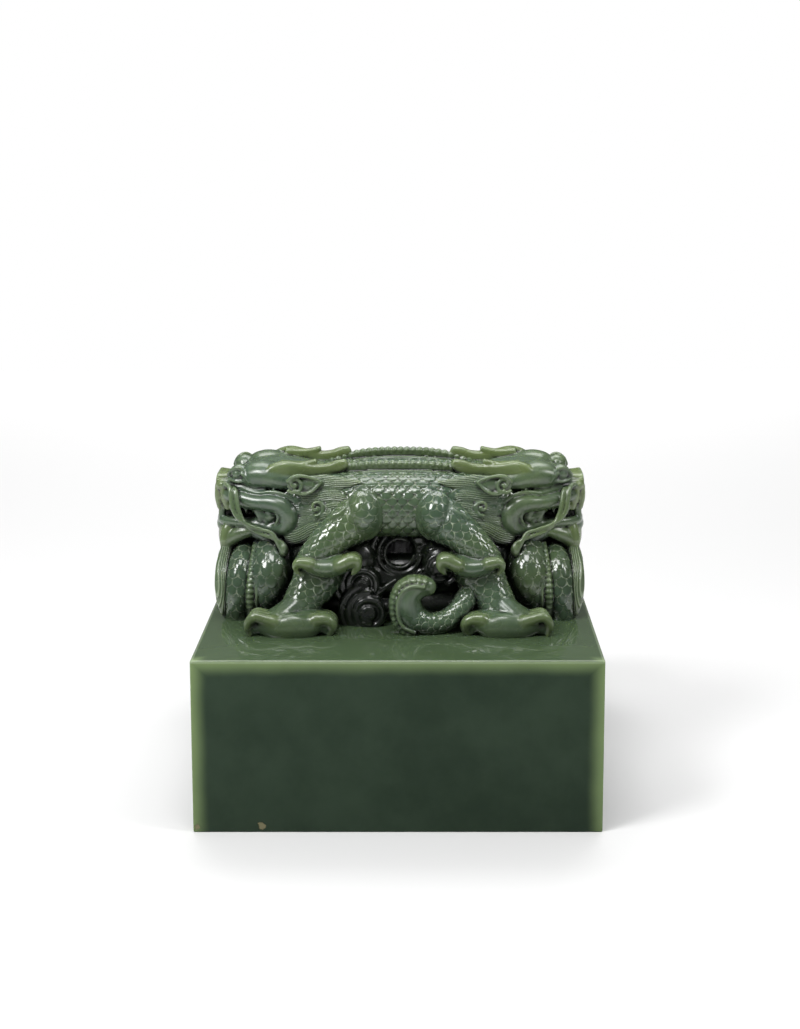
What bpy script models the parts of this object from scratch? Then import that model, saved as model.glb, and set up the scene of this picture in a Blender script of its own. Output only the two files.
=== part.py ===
"""Jade seal stamp: a square block with two crouching dragons, back to back, as its knob.

The whole seal is one piece of nephrite, so it is one solid. Lengths are metres, +Z is up and the
origin is the middle of the stamp face. The dragons are laid out on a grid in which the knob is
GRID_LENGTH units long and X points outwards to a nose, Y to the front or the back and Z up from
the block's top. One quarter is modelled and mirrored to the other three. The tail and the clouds
under the arch are modelled for the front and turned half round for the back.
"""

import math

import bmesh
import bpy
from mathutils import Matrix, Vector

MM = 0.001

# Block
BLOCK_WIDTH = 128 * MM
BLOCK_HEIGHT = 55.6 * MM
BLOCK_EDGE = 0.6 * MM

# Stamp face: a border and columns of fretwork strokes, left standing by a shallow ground
STAMP_BORDER = 7 * MM
STAMP_GAP = 3.4 * MM
STAMP_DEPTH = 1.6 * MM
STAMP_COLUMNS = 4
STAMP_CELLS = 3
STAMP_BARS = 8

# Knob
KNOB_MARGIN = 0.7 * MM
KNOB_SINK = 1.0 * MM
GRID_LENGTH = 126.6
UNIT = (BLOCK_WIDTH - 2 * KNOB_MARGIN) / GRID_LENGTH

# The way for a cord, under the arch from front to back, measured up from the block's top
CORD_WAY_WIDTH = 12 * MM
CORD_WAY_HEIGHT = 8 * MM
CORD_WAY_LIFT = 22.8 * MM

# Fineness of the carving's surface
SKIN_VOXEL = 0.6 * MM
SKIN_TRIANGLES = 8200
TUBE_SIDES = 12
ROLL_SIDES = 8
PATH_STEPS = 4
SPIRAL_STEPS = 9
END_SHARES = (0.55, 0.92)
BALL_DIVISIONS = 3
CORD_WAY_SIDES = 24
EDGE_SEGMENTS = 2
TOUCH = 0.001 * MM

# Nephrite
JADE_COLOUR = (0.055, 0.115, 0.062, 1.0)
JADE_ROUGHNESS = 0.22


def smooth_path(points, steps=PATH_STEPS):
    """A Catmull-Rom curve through rows of numbers, with so many steps between two rows."""
    rows = [tuple(row) for row in points]
    padded = [rows[0], *rows, rows[-1]]
    path = []
    for i in range(len(rows) - 1):
        a, b, c, d = padded[i : i + 4]
        for step in range(steps):
            t = step / steps
            path.append(
                tuple(
                    0.5 * (2 * q + (r - p) * t + (2 * p - 5 * q + 4 * r - s) * t * t
                           + (3 * q - p - 3 * r + s) * t ** 3)
                    for p, q, r, s in zip(a, b, c, d)
                )
            )
    return path + [rows[-1]]


def ring_matrix(place, along, wide, half_wide, half_thick):
    """Places a unit circle across a path: its X lies along wide, and its Y across it."""
    along = along.normalized()
    wide = (wide - wide.dot(along) * along).normalized()
    thick = along.cross(wide)
    axes = Matrix((wide * half_wide, thick * half_thick, along)).transposed().to_4x4()
    return Matrix.Translation(place) @ axes


def add_tube(mesh, rows, wide=(0, 1, 0), sides=TUBE_SIDES, steps=PATH_STEPS):
    """A closed tube with round ends. Each row is x, y, z, half width and half thickness."""
    rows = [tuple(row) if len(row) == 5 else (*row, row[3]) for row in rows]
    path = smooth_path(rows, steps)
    centres = [Vector(row[:3]) for row in path]
    wide = Vector(wide)
    rings = []
    last = len(path) - 1
    for i, row in enumerate(path):
        along = centres[min(i + 1, last)] - centres[max(i - 1, 0)]
        rings.append((centres[i], along, row[3], row[4]))
    for end, sign in ((0, -1), (-1, 1)):
        place, along, half_wide, half_thick = rings[end]
        reach = min(half_wide, half_thick)
        for share in END_SHARES:
            shrink = math.sqrt(1 - share * share)
            tip = place + along.normalized() * sign * share * reach
            extra = (tip, along, half_wide * shrink, half_thick * shrink)
            rings.insert(0 if sign < 0 else len(rings), extra)
    at = ring_matrix(rings[0][0], rings[0][1], wide, *rings[0][2:])
    start = bmesh.ops.create_circle(mesh, cap_ends=True, segments=sides, radius=1, matrix=at)
    loop = start["verts"]
    edges = [edge for edge in mesh.edges if edge.verts[0] in set(loop) and edge.verts[1] in set(loop)]
    for place, along, half_wide, half_thick in rings[1:]:
        extruded = bmesh.ops.extrude_edge_only(mesh, edges=edges)["geom"]
        loop = [item for item in extruded if isinstance(item, bmesh.types.BMVert)]
        edges = [item for item in extruded if isinstance(item, bmesh.types.BMEdge)]
        edges = [edge for edge in edges if all(vert in set(loop) for vert in edge.verts)]
        to = ring_matrix(place, along, wide, half_wide, half_thick)
        bmesh.ops.transform(mesh, matrix=to @ at.inverted(), verts=loop)
        at = to
    bmesh.ops.edgenet_fill(mesh, edges=edges)


def add_ball(mesh, centre, radii, tilt=0.0):
    """An egg, tilted about Y by so many degrees."""
    turn = Matrix.Rotation(math.radians(tilt), 4, "Y")
    matrix = Matrix.Translation(centre) @ turn @ Matrix.Diagonal((*radii, 1))
    bmesh.ops.create_icosphere(mesh, subdivisions=BALL_DIVISIONS, radius=1, matrix=matrix)


def add_plate(mesh, outline, low, high):
    """A plate of that x and z outline, from low to high in y."""
    corners = [mesh.verts.new((x, low, z)) for x, z in outline]
    face = mesh.faces.new(corners)
    extruded = bmesh.ops.extrude_face_region(mesh, geom=[face], use_keep_orig=True)["geom"]
    moved = [item for item in extruded if isinstance(item, bmesh.types.BMVert)]
    bmesh.ops.translate(mesh, verts=moved, vec=(0, high - low, 0))


def spiral(centre, start, end, turns, turn_from=0.0, lean=0.0):
    """Points of a flat spiral facing the front, leaning back by lean for each unit of height."""
    count = max(2, int(turns * SPIRAL_STEPS))
    points = []
    for i in range(count + 1):
        share = i / count
        angle = math.radians(turn_from) + share * turns * math.tau
        radius = start + (end - start) * share
        up = radius * math.sin(angle)
        points.append((centre[0] + radius * math.cos(angle), centre[1] - lean * up, centre[2] + up))
    return points


def add_roll(mesh, points, radius):
    """A thin round roll along points."""
    add_tube(mesh, [(*p, radius) for p in points], sides=ROLL_SIDES, steps=1)


def add_skull(mesh):
    """The head above the mouth: skull, brows, eyes and the blunt nose."""
    add_tube(mesh, [
        (32, 0, 40, 14, 8), (42, 0, 42, 13.5, 6), (51, 0, 42.4, 11.5, 5.2), (58.5, 0, 41, 8.6, 4.4),
    ])
    add_tube(mesh, [(57.5, 0, 41, 9, 4.2), (59.4, 0, 37, 7.6, 3.4), (59.6, 0, 35.4, 6.6, 3)])
    add_ball(mesh, (48, 6.2, 48.2), (5.6, 5.8, 4.4))
    add_ball(mesh, (54.2, 7.2, 47.6), (2.9, 2.9, 3))
    add_plate(mesh, [(56.6, 43), (62.9, 42.4), (63.1, 47.2), (57, 46)], -0.2, 7)
    add_ball(mesh, (61, 7.2, 41.8), (2, 2.2, 2.1))


def add_jaw(mesh):
    """The lower jaw, its chin and the beard that falls over the coils, with a fang at the front."""
    add_ball(mesh, (35, 0, 34), (8, 14.5, 9))
    add_tube(mesh, [
        (37, 0, 30, 12, 4), (48, 0, 29.4, 10.4, 2.6), (56, 0, 28.8, 8.6, 2.3), (60.4, 0, 28.6, 6.8, 2.2),
    ])
    add_tube(mesh, [(60, 0, 28, 7.2, 3), (60, 0, 23.5, 6.4, 3), (59.7, 0, 19.6, 3.4, 1.8)])
    add_tube(mesh, [
        (59.6, 0, 20, 6.6, 2), (60.9, 0, 14, 7.4, 2.4), (60.6, 0, 8, 6, 2.2), (60, 0, 3.4, 2.6, 1.2),
    ])
    add_roll(mesh, [(60.2, 5.4, 35), (60.4, 5.5, 31), (60, 5.4, 29)], 1.3)
    add_tube(mesh, [(46, 8.5, 27, 6, 4), (41.5, 10.5, 24, 5.5, 4), (38.5, 12, 20, 4.5, 4)])


def add_lips(mesh):
    """The thick lip that curls round the corner of the mouth, and the fold inside it."""
    add_tube(mesh, [
        (56, 9.5, 41, 2.2), (50.4, 12.6, 39.9, 2.7), (46.2, 14.2, 39.6, 2.8), (42, 15.3, 40.2, 3),
        (38, 16, 38.4, 3.3), (35.8, 16.2, 34.2, 3.4), (37.6, 15.6, 30.2, 3), (41.6, 14.3, 28.6, 2.3),
        (46.4, 12.8, 29.2, 1.8), (51, 11, 30.2, 1.7), (56, 8.8, 30.4, 1.7), (60.2, 6, 30.2, 1.7),
    ], sides=10, steps=3)
    add_roll(mesh, [(46.5, 12.6, 36.6), (42.5, 13.8, 36.9), (40, 14.2, 34.3), (41.8, 13.6, 31.7)], 1.5)


def add_whisker(mesh):
    """The long whisker that hangs from the nose and sweeps back under the cheek."""
    rows = [
        (56.5, 9.4, 43.2, 1.2), (55.3, 12.6, 38.5, 1.1), (53, 15, 33, 1.1), (49.3, 16.6, 30, 1.1),
        (44.2, 17.8, 28, 1.1), (39.8, 18.8, 26.2, 1.2), (37.6, 19.6, 23.4, 1.5), (38, 19.4, 21, 1.5),
    ]
    add_tube(mesh, rows, sides=8, steps=3)


def add_horn(mesh):
    """A two-pronged horn lying back over the neck."""
    add_tube(mesh, [
        (46, 10, 46.4, 2.4, 2.6), (40, 10, 48.6, 2.9, 3.2), (33, 10, 48.2, 2.7, 3), (26, 10, 47.4, 2.5, 2.4),
        (21, 10, 48.4, 2.1, 1.8), (18, 10, 51.8, 0.9, 0.7),
    ], sides=10)
    add_tube(mesh, [
        (40, 10, 49.4, 2.6, 2.6), (34, 10, 50, 2.4, 2), (30.4, 10, 50.6, 1.8, 1.5), (27.8, 10, 52, 0.8, 0.6),
    ], sides=10)


def add_ear(mesh):
    """A curled ear behind the cheek."""
    add_tube(mesh, [(35.2, 18.6, 45.6, 2.8), (31, 19.6, 44.6, 2.8), (26.6, 20, 43.6, 1.4)])
    add_roll(mesh, spiral((34.6, 20.8, 45.6), 0.6, 2.7, 1.2, lean=0.2), 0.7)


def add_mane(mesh):
    """Flat locks of hair that stream back from the cheek, with two curls among them."""
    add_tube(mesh, [(31, 19, 44, 4, 1.6), (22, 20.8, 43.4, 3.8, 1.6), (14.4, 21, 45.6, 0.7, 0.7)],
             wide=(0, 0, 1))
    add_tube(mesh, [(28, 20.6, 38.6, 4, 1.8), (20, 23, 39.6, 3.2, 1.6), (15.6, 24, 41.2, 0.8, 0.8)],
             wide=(0, 0, 1))
    add_tube(mesh, [(36, 19, 26.4, 3.6, 1.8), (29, 22.4, 30.4, 3.2, 1.8), (22, 25.6, 34.2, 0.8, 0.8)],
             wide=(0, 0, 1))
    add_tube(mesh, [(37, 19.4, 22.8, 2.6, 1.6), (32, 23, 25.4, 2.4, 1.6), (27, 26, 28.2, 0.8, 0.8)],
             wide=(0, 0, 1))
    add_roll(mesh, spiral((28.6, 21.8, 38.6), 0.6, 2.8, 1.3, 180, lean=0.1), 0.8)
    add_roll(mesh, spiral((19.6, 26.2, 36.6), 0.6, 2.4, 1.3, lean=0.1), 0.8)


def add_body(mesh):
    """Half of one arched body, from the middle of the seal to the head, with the ridge on its back."""
    add_tube(mesh, [
        (-2, 12.2, 38.3, 12.8, 12.2), (8, 12, 38, 12.8, 12), (18, 9.6, 37.2, 13, 12),
        (28, 5, 36.4, 14.5, 11.5), (38, 0, 36.6, 14, 9),
    ])
    crest = [(-2, 11.6, 50.4), (8, 11.5, 50.2), (16, 10.8, 48.9), (25, 9.4, 45.6)]
    add_tube(mesh, [(*p, 2.7, 1.8) for p in crest])
    add_ball(mesh, (30.5, 6, 30), (8.5, 15, 11))
    add_ball(mesh, (26, 9, 37), (11, 14, 9.5))


def add_paw(mesh, place, toe, grip, spread, toes):
    """A clenched paw. place is its palm, toe and grip reach to its outer and inner claws."""
    x, y, z = place
    long, wide, deep = spread
    add_tube(mesh, [
        (x - 0.75 * long, y, z + 0.1 * deep, wide * 0.7, deep * 0.6), (x, y, z, wide, deep),
        (x + 0.75 * long, y, z + 0.1 * deep, wide * 0.75, deep * 0.65),
    ])
    for i in range(toes):
        share = i / (toes - 1)
        at = y + wide * (0.75 - 1.5 * share)
        back = 0.6 * math.sin(math.pi * share)
        add_tube(mesh, [
            (x + 0.45 * long, at, z + 0.35 * deep, 2.1), (toe[0] - 3.4 + back, at, toe[1] + 1.6, 2),
            (toe[0] + back, at, toe[1] - 1.4, 1.6), (toe[0] - 1.2 + back, at, toe[1] - toe[2], 0.7),
        ], sides=8, steps=2)
    for at in (y + 0.45 * wide, y - 0.35 * wide):
        add_tube(mesh, [
            (x - 0.5 * long, at, z + 0.4 * deep, 2.4), (grip[0] + 2.6, at, grip[1] + 1.2, 2.3),
            (grip[0], at, grip[1] - 1.6, 1.9), (grip[0] + 2.6, at, grip[1] - grip[2], 0.7),
        ], sides=8, steps=2)


def add_legs(mesh):
    """The hind leg, whose paw grips the foreleg, and the foreleg, whose paw stands on the block."""
    add_ball(mesh, (12.2, 22.6, 36.6), (6.9, 7.4, 8.8), tilt=14)
    add_tube(mesh, [(13.5, 23, 34.5, 7.2), (19.5, 26.4, 30.4, 6.4), (25.5, 28.4, 26, 5.4), (28, 29.4, 23, 5)])
    add_paw(mesh, (25, 30, 21.2), (34, 22, 4), (14.4, 22, 3.4), (8.6, 5, 3.6), 3)
    add_tube(mesh, [
        (25.6, 25.4, 20, 6.4, 8.4), (27, 26.6, 15.6, 6.2, 8.2), (29.2, 28, 12, 6, 7.2),
        (31.6, 29.4, 8.4, 6, 6.6), (33.5, 31, 4.5, 6.4, 7.4),
    ])
    add_paw(mesh, (35, 33.4, 3.4), (49.4, 5.4, 5.6), (21.6, 4.8, 5), (12.4, 7.2, 5), 4)


def add_coils(mesh):
    """Two loops of the other dragon's body, arched under the chin, the inner one with a ridge."""
    inner = [
        (43.6, 18.4, -3), (43.4, 19.4, 4), (43.2, 19.2, 11), (43, 16.4, 17.6), (43, 8, 20.4), (43, -2, 21),
    ]
    add_tube(mesh, [(*p, 7, 6.8) for p in inner], wide=(1, 0, 0))
    outer = [
        (57, 17.4, -3), (57, 18.8, 3), (56.2, 18.8, 9.6), (54.8, 15.6, 16), (53, 8, 18.6), (52.4, -2, 19),
    ]
    add_tube(mesh, [(*p, 5.4, 5.8) for p in outer], wide=(1, 0, 0))
    add_tube(mesh, [(50.4, 15, -2, 4), (50.2, 15, 4, 4), (49.4, 14, 10, 4)])
    ridge = [(46.4, 24.2, 0), (46.6, 25.6, 8), (46.2, 24.4, 15), (45.6, 20, 21.6), (45.2, 12, 25.6)]
    add_tube(mesh, [(*p, 1.8, 1) for p in ridge], wide=(1, 0, 0))


def add_core(mesh):
    """The mass inside the ring of legs, solid up to the bellies."""
    add_tube(mesh, [(-2, 0, 8, 26, 20), (14, 0, 8, 26, 20), (24, 0, 8, 26, 17), (34, 0, 8, 22, 14)], sides=24)
    add_tube(mesh, [(48, 0, 4, 17, 10), (34, 0, 12, 21, 14)], sides=16)


def add_tail(mesh):
    """The tail that comes round the foreleg and curls up at the front, ridged on its outer side."""
    rows = [
        (25, 28.5, 13, 5), (19.4, 33, 8.6, 5), (12.5, 35.6, 4.4, 4.4), (6.5, 36, 4.8, 5), (2.5, 36, 8.4, 5.4),
        (2.9, 36, 12.4, 5.2), (5.8, 36, 14.2, 4.6), (8, 36, 14.2, 4.1),
    ]
    add_tube(mesh, rows)
    ridge = [
        (8, 36, -0.4), (0.6, 36, 1.8), (-3, 36, 6.6), (-3, 36, 12), (-0.6, 36, 16.2), (3.6, 36, 18.4),
        (8.2, 36, 18),
    ]
    add_tube(mesh, [(*p, 2, 1) for p in ridge])


def add_clouds(mesh):
    """Rolled clouds on the core's face: two scrolls, and a third round the mouth of the cord's way."""
    add_ball(mesh, (0, 17.5, 16), (19, 7.5, 12))
    for centre, radius in (((-12.4, 25, 13.2), 6.6), ((-10.6, 28, 4.4), 7)):
        add_ball(mesh, centre, (radius, 4, radius))
        face = (centre[0], centre[1] + 3, centre[2])
        add_roll(mesh, spiral(face, 0.8, radius - 0.6, 1.9, 60, 0.15), 1.3)
    add_roll(mesh, spiral((0, 24.2, CORD_WAY_LIFT / UNIT), 7.2, 7.2, 0.62, 160), 2.2)
    add_roll(mesh, spiral((0, 23.4, CORD_WAY_LIFT / UNIT), 11.4, 11.4, 0.36, 170), 1.8)


def mirrored(mesh, scale):
    """Adds a mirrored copy of all that the mesh holds."""
    copied = bmesh.ops.duplicate(mesh, geom=[*mesh.verts, *mesh.edges, *mesh.faces])["geom"]
    verts = [item for item in copied if isinstance(item, bmesh.types.BMVert)]
    faces = [item for item in copied if isinstance(item, bmesh.types.BMFace)]
    bmesh.ops.scale(mesh, verts=verts, vec=scale)
    bmesh.ops.reverse_faces(mesh, faces=faces)


def turned(mesh):
    """Adds a copy of all that the mesh holds, turned half round the upright axis."""
    copied = bmesh.ops.duplicate(mesh, geom=[*mesh.verts, *mesh.edges, *mesh.faces])["geom"]
    verts = [item for item in copied if isinstance(item, bmesh.types.BMVert)]
    bmesh.ops.rotate(mesh, verts=verts, cent=(0, 0, 0), matrix=Matrix.Rotation(math.pi, 3, "Z"))


def mesh_object(name, mesh):
    """Makes an object of a bmesh, with its faces pointing outwards."""
    bmesh.ops.recalc_face_normals(mesh, faces=mesh.faces)
    data = bpy.data.meshes.new(name)
    mesh.to_mesh(data)
    mesh.free()
    made = bpy.data.objects.new(name, data)
    bpy.context.scene.collection.objects.link(made)
    return made


def keep_outside(mesh):
    """Deletes all but the largest of a mesh's shells: the others are hollows shut inside it."""
    waiting = set(mesh.verts)
    shells = []
    while waiting:
        front = [waiting.pop()]
        shell = set(front)
        while front:
            vert = front.pop()
            for edge in vert.link_edges:
                other = edge.other_vert(vert)
                if other in waiting:
                    waiting.remove(other)
                    shell.add(other)
                    front.append(other)
        shells.append(shell)
    shells.sort(key=len)
    inside = [vert for shell in shells[:-1] for vert in shell]
    bmesh.ops.delete(mesh, geom=inside, context="VERTS")


def make_knob():
    """The dragons as one skin: forms joined by a voxel remesh, then thinned where they are plain."""
    quarter = bmesh.new()
    for add in (
        add_skull, add_jaw, add_lips, add_whisker, add_horn, add_ear, add_mane, add_body, add_legs,
        add_coils, add_core,
    ):
        add(quarter)
    mirrored(quarter, (1, -1, 1))
    mirrored(quarter, (-1, 1, 1))
    front = bmesh.new()
    add_tail(front)
    add_clouds(front)
    bmesh.ops.scale(front, verts=front.verts, vec=(1, -1, 1))
    bmesh.ops.reverse_faces(front, faces=front.faces)
    turned(front)
    rest = bpy.data.meshes.new("front_and_back")
    front.to_mesh(rest)
    front.free()
    quarter.from_mesh(rest)
    bpy.data.meshes.remove(rest)
    bmesh.ops.recalc_face_normals(quarter, faces=quarter.faces)
    bmesh.ops.scale(quarter, verts=quarter.verts, vec=(UNIT, UNIT, UNIT))
    bmesh.ops.translate(quarter, verts=quarter.verts, vec=(0, 0, BLOCK_HEIGHT))
    for vert in quarter.verts:
        vert.co.z = max(vert.co.z, BLOCK_HEIGHT - KNOB_SINK)
    knob = mesh_object("knob_skin", quarter)
    knob.hide_render = True
    knob.display_type = "WIRE"
    skin = knob.modifiers.new("one skin", "REMESH")
    skin.mode = "VOXEL"
    skin.voxel_size = SKIN_VOXEL
    dense = bmesh.new()
    dense.from_object(knob, bpy.context.evaluated_depsgraph_get())
    knob.modifiers.remove(skin)
    keep_outside(dense)
    triangles = sum(len(face.verts) - 2 for face in dense.faces)
    dense.to_mesh(knob.data)
    dense.free()
    thin = knob.modifiers.new("fewer faces", "DECIMATE")
    thin.ratio = min(1.0, SKIN_TRIANGLES / triangles)
    return knob


def stamp_lines(rows):
    """The places of the stamp face's grid lines, across it and up it."""
    half = BLOCK_WIDTH / 2
    inside = BLOCK_WIDTH - 2 * STAMP_BORDER
    column = (inside - (STAMP_COLUMNS + 1) * STAMP_GAP) / STAMP_COLUMNS
    across = [-half, -half + STAMP_BORDER]
    for _ in range(STAMP_COLUMNS):
        left = across[-1] + STAMP_GAP
        across += [left + column * i / STAMP_CELLS for i in range(STAMP_CELLS + 1)]
    across += [half - STAMP_BORDER, half]
    bar = (inside - 2 * STAMP_GAP) / rows
    low = -half + STAMP_BORDER + STAMP_GAP
    up = [-half, -half + STAMP_BORDER, *(low + bar * i for i in range(rows + 1)), half - STAMP_BORDER, half]
    return across, up


def is_ground(column, row, columns, rows):
    """Whether a cell of the stamp face is sunk: all but the border, the bars and what links them."""
    if column in (0, columns - 1) or row in (0, rows - 1):
        return False
    place = column % (STAMP_CELLS + 1)
    if place == 1 or row in (1, rows - 2):
        return True
    bar = row - 2
    if bar % 2 == 0:
        return False
    side = 2 if bar % 4 == 1 else 0
    return place != side


def make_block():
    """The square block, its stamp face sunk round fretwork strokes, its edges eased."""
    across, up = stamp_lines(2 * STAMP_BARS - 1)
    mesh = bmesh.new()
    bmesh.ops.create_grid(mesh, x_segments=len(across) - 1, y_segments=len(up) - 1, size=0.5)
    for vert in mesh.verts:
        column = round((vert.co.x + 0.5) * (len(across) - 1))
        row = round((vert.co.y + 0.5) * (len(up) - 1))
        vert.co = (across[column], up[row], 0)
    ground = []
    for face in mesh.faces:
        spot = face.calc_center_median()
        column = sum(spot.x > line for line in across) - 1
        row = sum(spot.y > line for line in up) - 1
        if is_ground(column, row, len(across) - 1, len(up) - 1):
            ground.append(face)
    rim = [edge for edge in mesh.edges if edge.is_boundary]
    walls = bmesh.ops.extrude_edge_only(mesh, edges=rim)["geom"]
    top = [item for item in walls if isinstance(item, bmesh.types.BMVert)]
    bmesh.ops.translate(mesh, verts=top, vec=(0, 0, BLOCK_HEIGHT))
    bmesh.ops.edgenet_fill(mesh, edges=[edge for edge in mesh.edges if edge.is_boundary])
    raised = bmesh.ops.extrude_face_region(mesh, geom=ground)["geom"]
    sunk = [item for item in raised if isinstance(item, bmesh.types.BMVert)]
    bmesh.ops.delete(mesh, geom=ground, context="FACES_KEEP_BOUNDARY")
    bmesh.ops.translate(mesh, verts=sunk, vec=(0, 0, STAMP_DEPTH))
    bmesh.ops.dissolve_limit(
        mesh, angle_limit=math.radians(1), use_dissolve_boundaries=False, verts=mesh.verts,
        edges=mesh.edges,
    )
    half = BLOCK_WIDTH / 2
    outer = [
        edge for edge in mesh.edges
        if all(max(abs(v.co.x), abs(v.co.y)) > half - TOUCH for v in edge.verts)
        and edge.calc_face_angle(0) > 1
    ]
    bmesh.ops.bevel(
        mesh, geom=outer, offset=BLOCK_EDGE, segments=EDGE_SEGMENTS, profile=0.5, affect="EDGES", material=-1,
    )
    return mesh_object("jade_seal", mesh)


def make_cord_way():
    """The cutter for the oval way through which the seal's cord was threaded."""
    mesh = bmesh.new()
    lift = Matrix.Translation((0, 0, BLOCK_HEIGHT + CORD_WAY_LIFT))
    lie = Matrix.Rotation(math.pi / 2, 4, "X")
    oval = Matrix.Diagonal((CORD_WAY_WIDTH / 2, CORD_WAY_HEIGHT / 2, BLOCK_WIDTH, 1))
    bmesh.ops.create_cone(
        mesh, cap_ends=True, segments=CORD_WAY_SIDES, radius1=1, radius2=1, depth=1, matrix=lift @ lie @ oval,
    )
    cutter = mesh_object("cord_way", mesh)
    cutter.hide_render = True
    cutter.display_type = "WIRE"
    return cutter


def jade():
    """Polished spinach-green nephrite."""
    material = bpy.data.materials.new("jade")
    material.use_nodes = True
    shader = material.node_tree.nodes["Principled BSDF"]
    shader.inputs["Base Color"].default_value = JADE_COLOUR
    shader.inputs["Roughness"].default_value = JADE_ROUGHNESS
    return material


def main():
    for old in list(bpy.data.objects):
        bpy.data.objects.remove(old, do_unlink=True)
    knob = make_knob()
    cord_way = make_cord_way()
    seal = make_block()
    seal.data.materials.append(jade())
    for name, operation, other in (("dragons", "UNION", knob), ("cord way", "DIFFERENCE", cord_way)):
        change = seal.modifiers.new(name, "BOOLEAN")
        change.operation = operation
        change.solver = "EXACT"
        change.object = other


main()
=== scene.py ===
import math

import bmesh
import bpy
import numpy as np
from mathutils import Matrix, Vector
from mathutils.bvhtree import BVHTree


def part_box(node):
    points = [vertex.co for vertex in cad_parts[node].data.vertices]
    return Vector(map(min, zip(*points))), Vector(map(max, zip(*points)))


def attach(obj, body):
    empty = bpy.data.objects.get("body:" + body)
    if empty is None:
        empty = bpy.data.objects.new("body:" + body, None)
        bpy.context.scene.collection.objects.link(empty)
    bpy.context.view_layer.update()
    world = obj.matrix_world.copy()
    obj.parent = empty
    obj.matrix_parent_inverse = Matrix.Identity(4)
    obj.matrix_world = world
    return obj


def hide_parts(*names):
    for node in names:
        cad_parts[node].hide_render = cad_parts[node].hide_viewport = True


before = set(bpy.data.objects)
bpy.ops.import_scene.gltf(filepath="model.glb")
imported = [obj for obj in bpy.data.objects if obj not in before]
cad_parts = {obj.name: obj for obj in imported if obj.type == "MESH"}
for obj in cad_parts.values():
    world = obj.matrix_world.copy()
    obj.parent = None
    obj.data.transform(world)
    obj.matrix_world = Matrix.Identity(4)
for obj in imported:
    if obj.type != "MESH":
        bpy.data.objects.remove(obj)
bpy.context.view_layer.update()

# The knob is laid out in millimetres: X outwards to a nose, Y to the viewer, Z up from the block's top.
# A form is laid out once, in a quarter or a half of it, and its piece's fold mirrors or turns it.
sealLow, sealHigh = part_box("jade_seal")
seal = {
    "width": sealHigh.x - sealLow.x,
    "blockHeight": 0.0556,
    "knobMargin": 0.0007,
    "knobLength": 126.6,   # in the layout's millimetres
    "sink": 1.0,           # how far the knob's pieces run down into the block, in the same
}
unit = (seal["width"] - 2 * seal["knobMargin"]) / seal["knobLength"]


# Paths and tubes

tubes = {
    "ringStep": 1.3,       # from ring to ring, in millimetres
    "sideStep": 0.9,       # and from point to point round a ring
    "fewestSides": 10,
    "mostSides": 64,
    "capRings": (0.4, 0.7, 0.9, 0.985),   # where an end's rings stand, as shares of its reach
    "eggRings": (-0.97, -0.85, -0.6, -0.3, 0, 0.3, 0.6, 0.85, 0.97),
    "rollFine": 1.6,       # rolls have this many times a tube's rings and sides
    "spiralSteps": 20,     # points in one turn
}


def smoothPath(rows, steps):
    rows = np.array(rows, float)
    ends = np.vstack([rows[:1], rows, rows[-1:]])
    a, b, c, d = (ends[i:len(ends) - 3 + i, None, :] for i in range(4))
    t = (np.arange(steps) / steps)[None, :, None]
    path = 0.5 * (2 * b + (c - a) * t + (2 * a - 5 * b + 4 * c - d) * t ** 2
                  + (3 * b - a - 3 * c + d) * t ** 3)
    return np.vstack([path.reshape(-1, rows.shape[1]), rows[-1:]])


def ringMatrix(place, along, wide, halfWide, halfThick):
    along = along.normalized()
    wide = (wide - wide.dot(along) * along).normalized()
    thick = along.cross(wide)
    axes = Matrix((wide * halfWide, thick * halfThick, along)).transposed().to_4x4()
    return Matrix.Translation(place) @ axes


def spiral(centre, start, end, turns, turnFrom=0.0, lean=0.0):
    # Turns are counted, turnFrom is in degrees, and lean is how far its top leans back
    count = max(6, int(turns * tubes["spiralSteps"]))
    points = []
    for i in range(count + 1):
        share = i / count
        angle = math.radians(turnFrom) + share * turns * math.tau
        radius = start + (end - start) * share
        up = radius * math.sin(angle)
        points.append((centre[0] + radius * math.cos(angle), centre[1] - lean * up, centre[2] + up))
    return points


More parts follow.
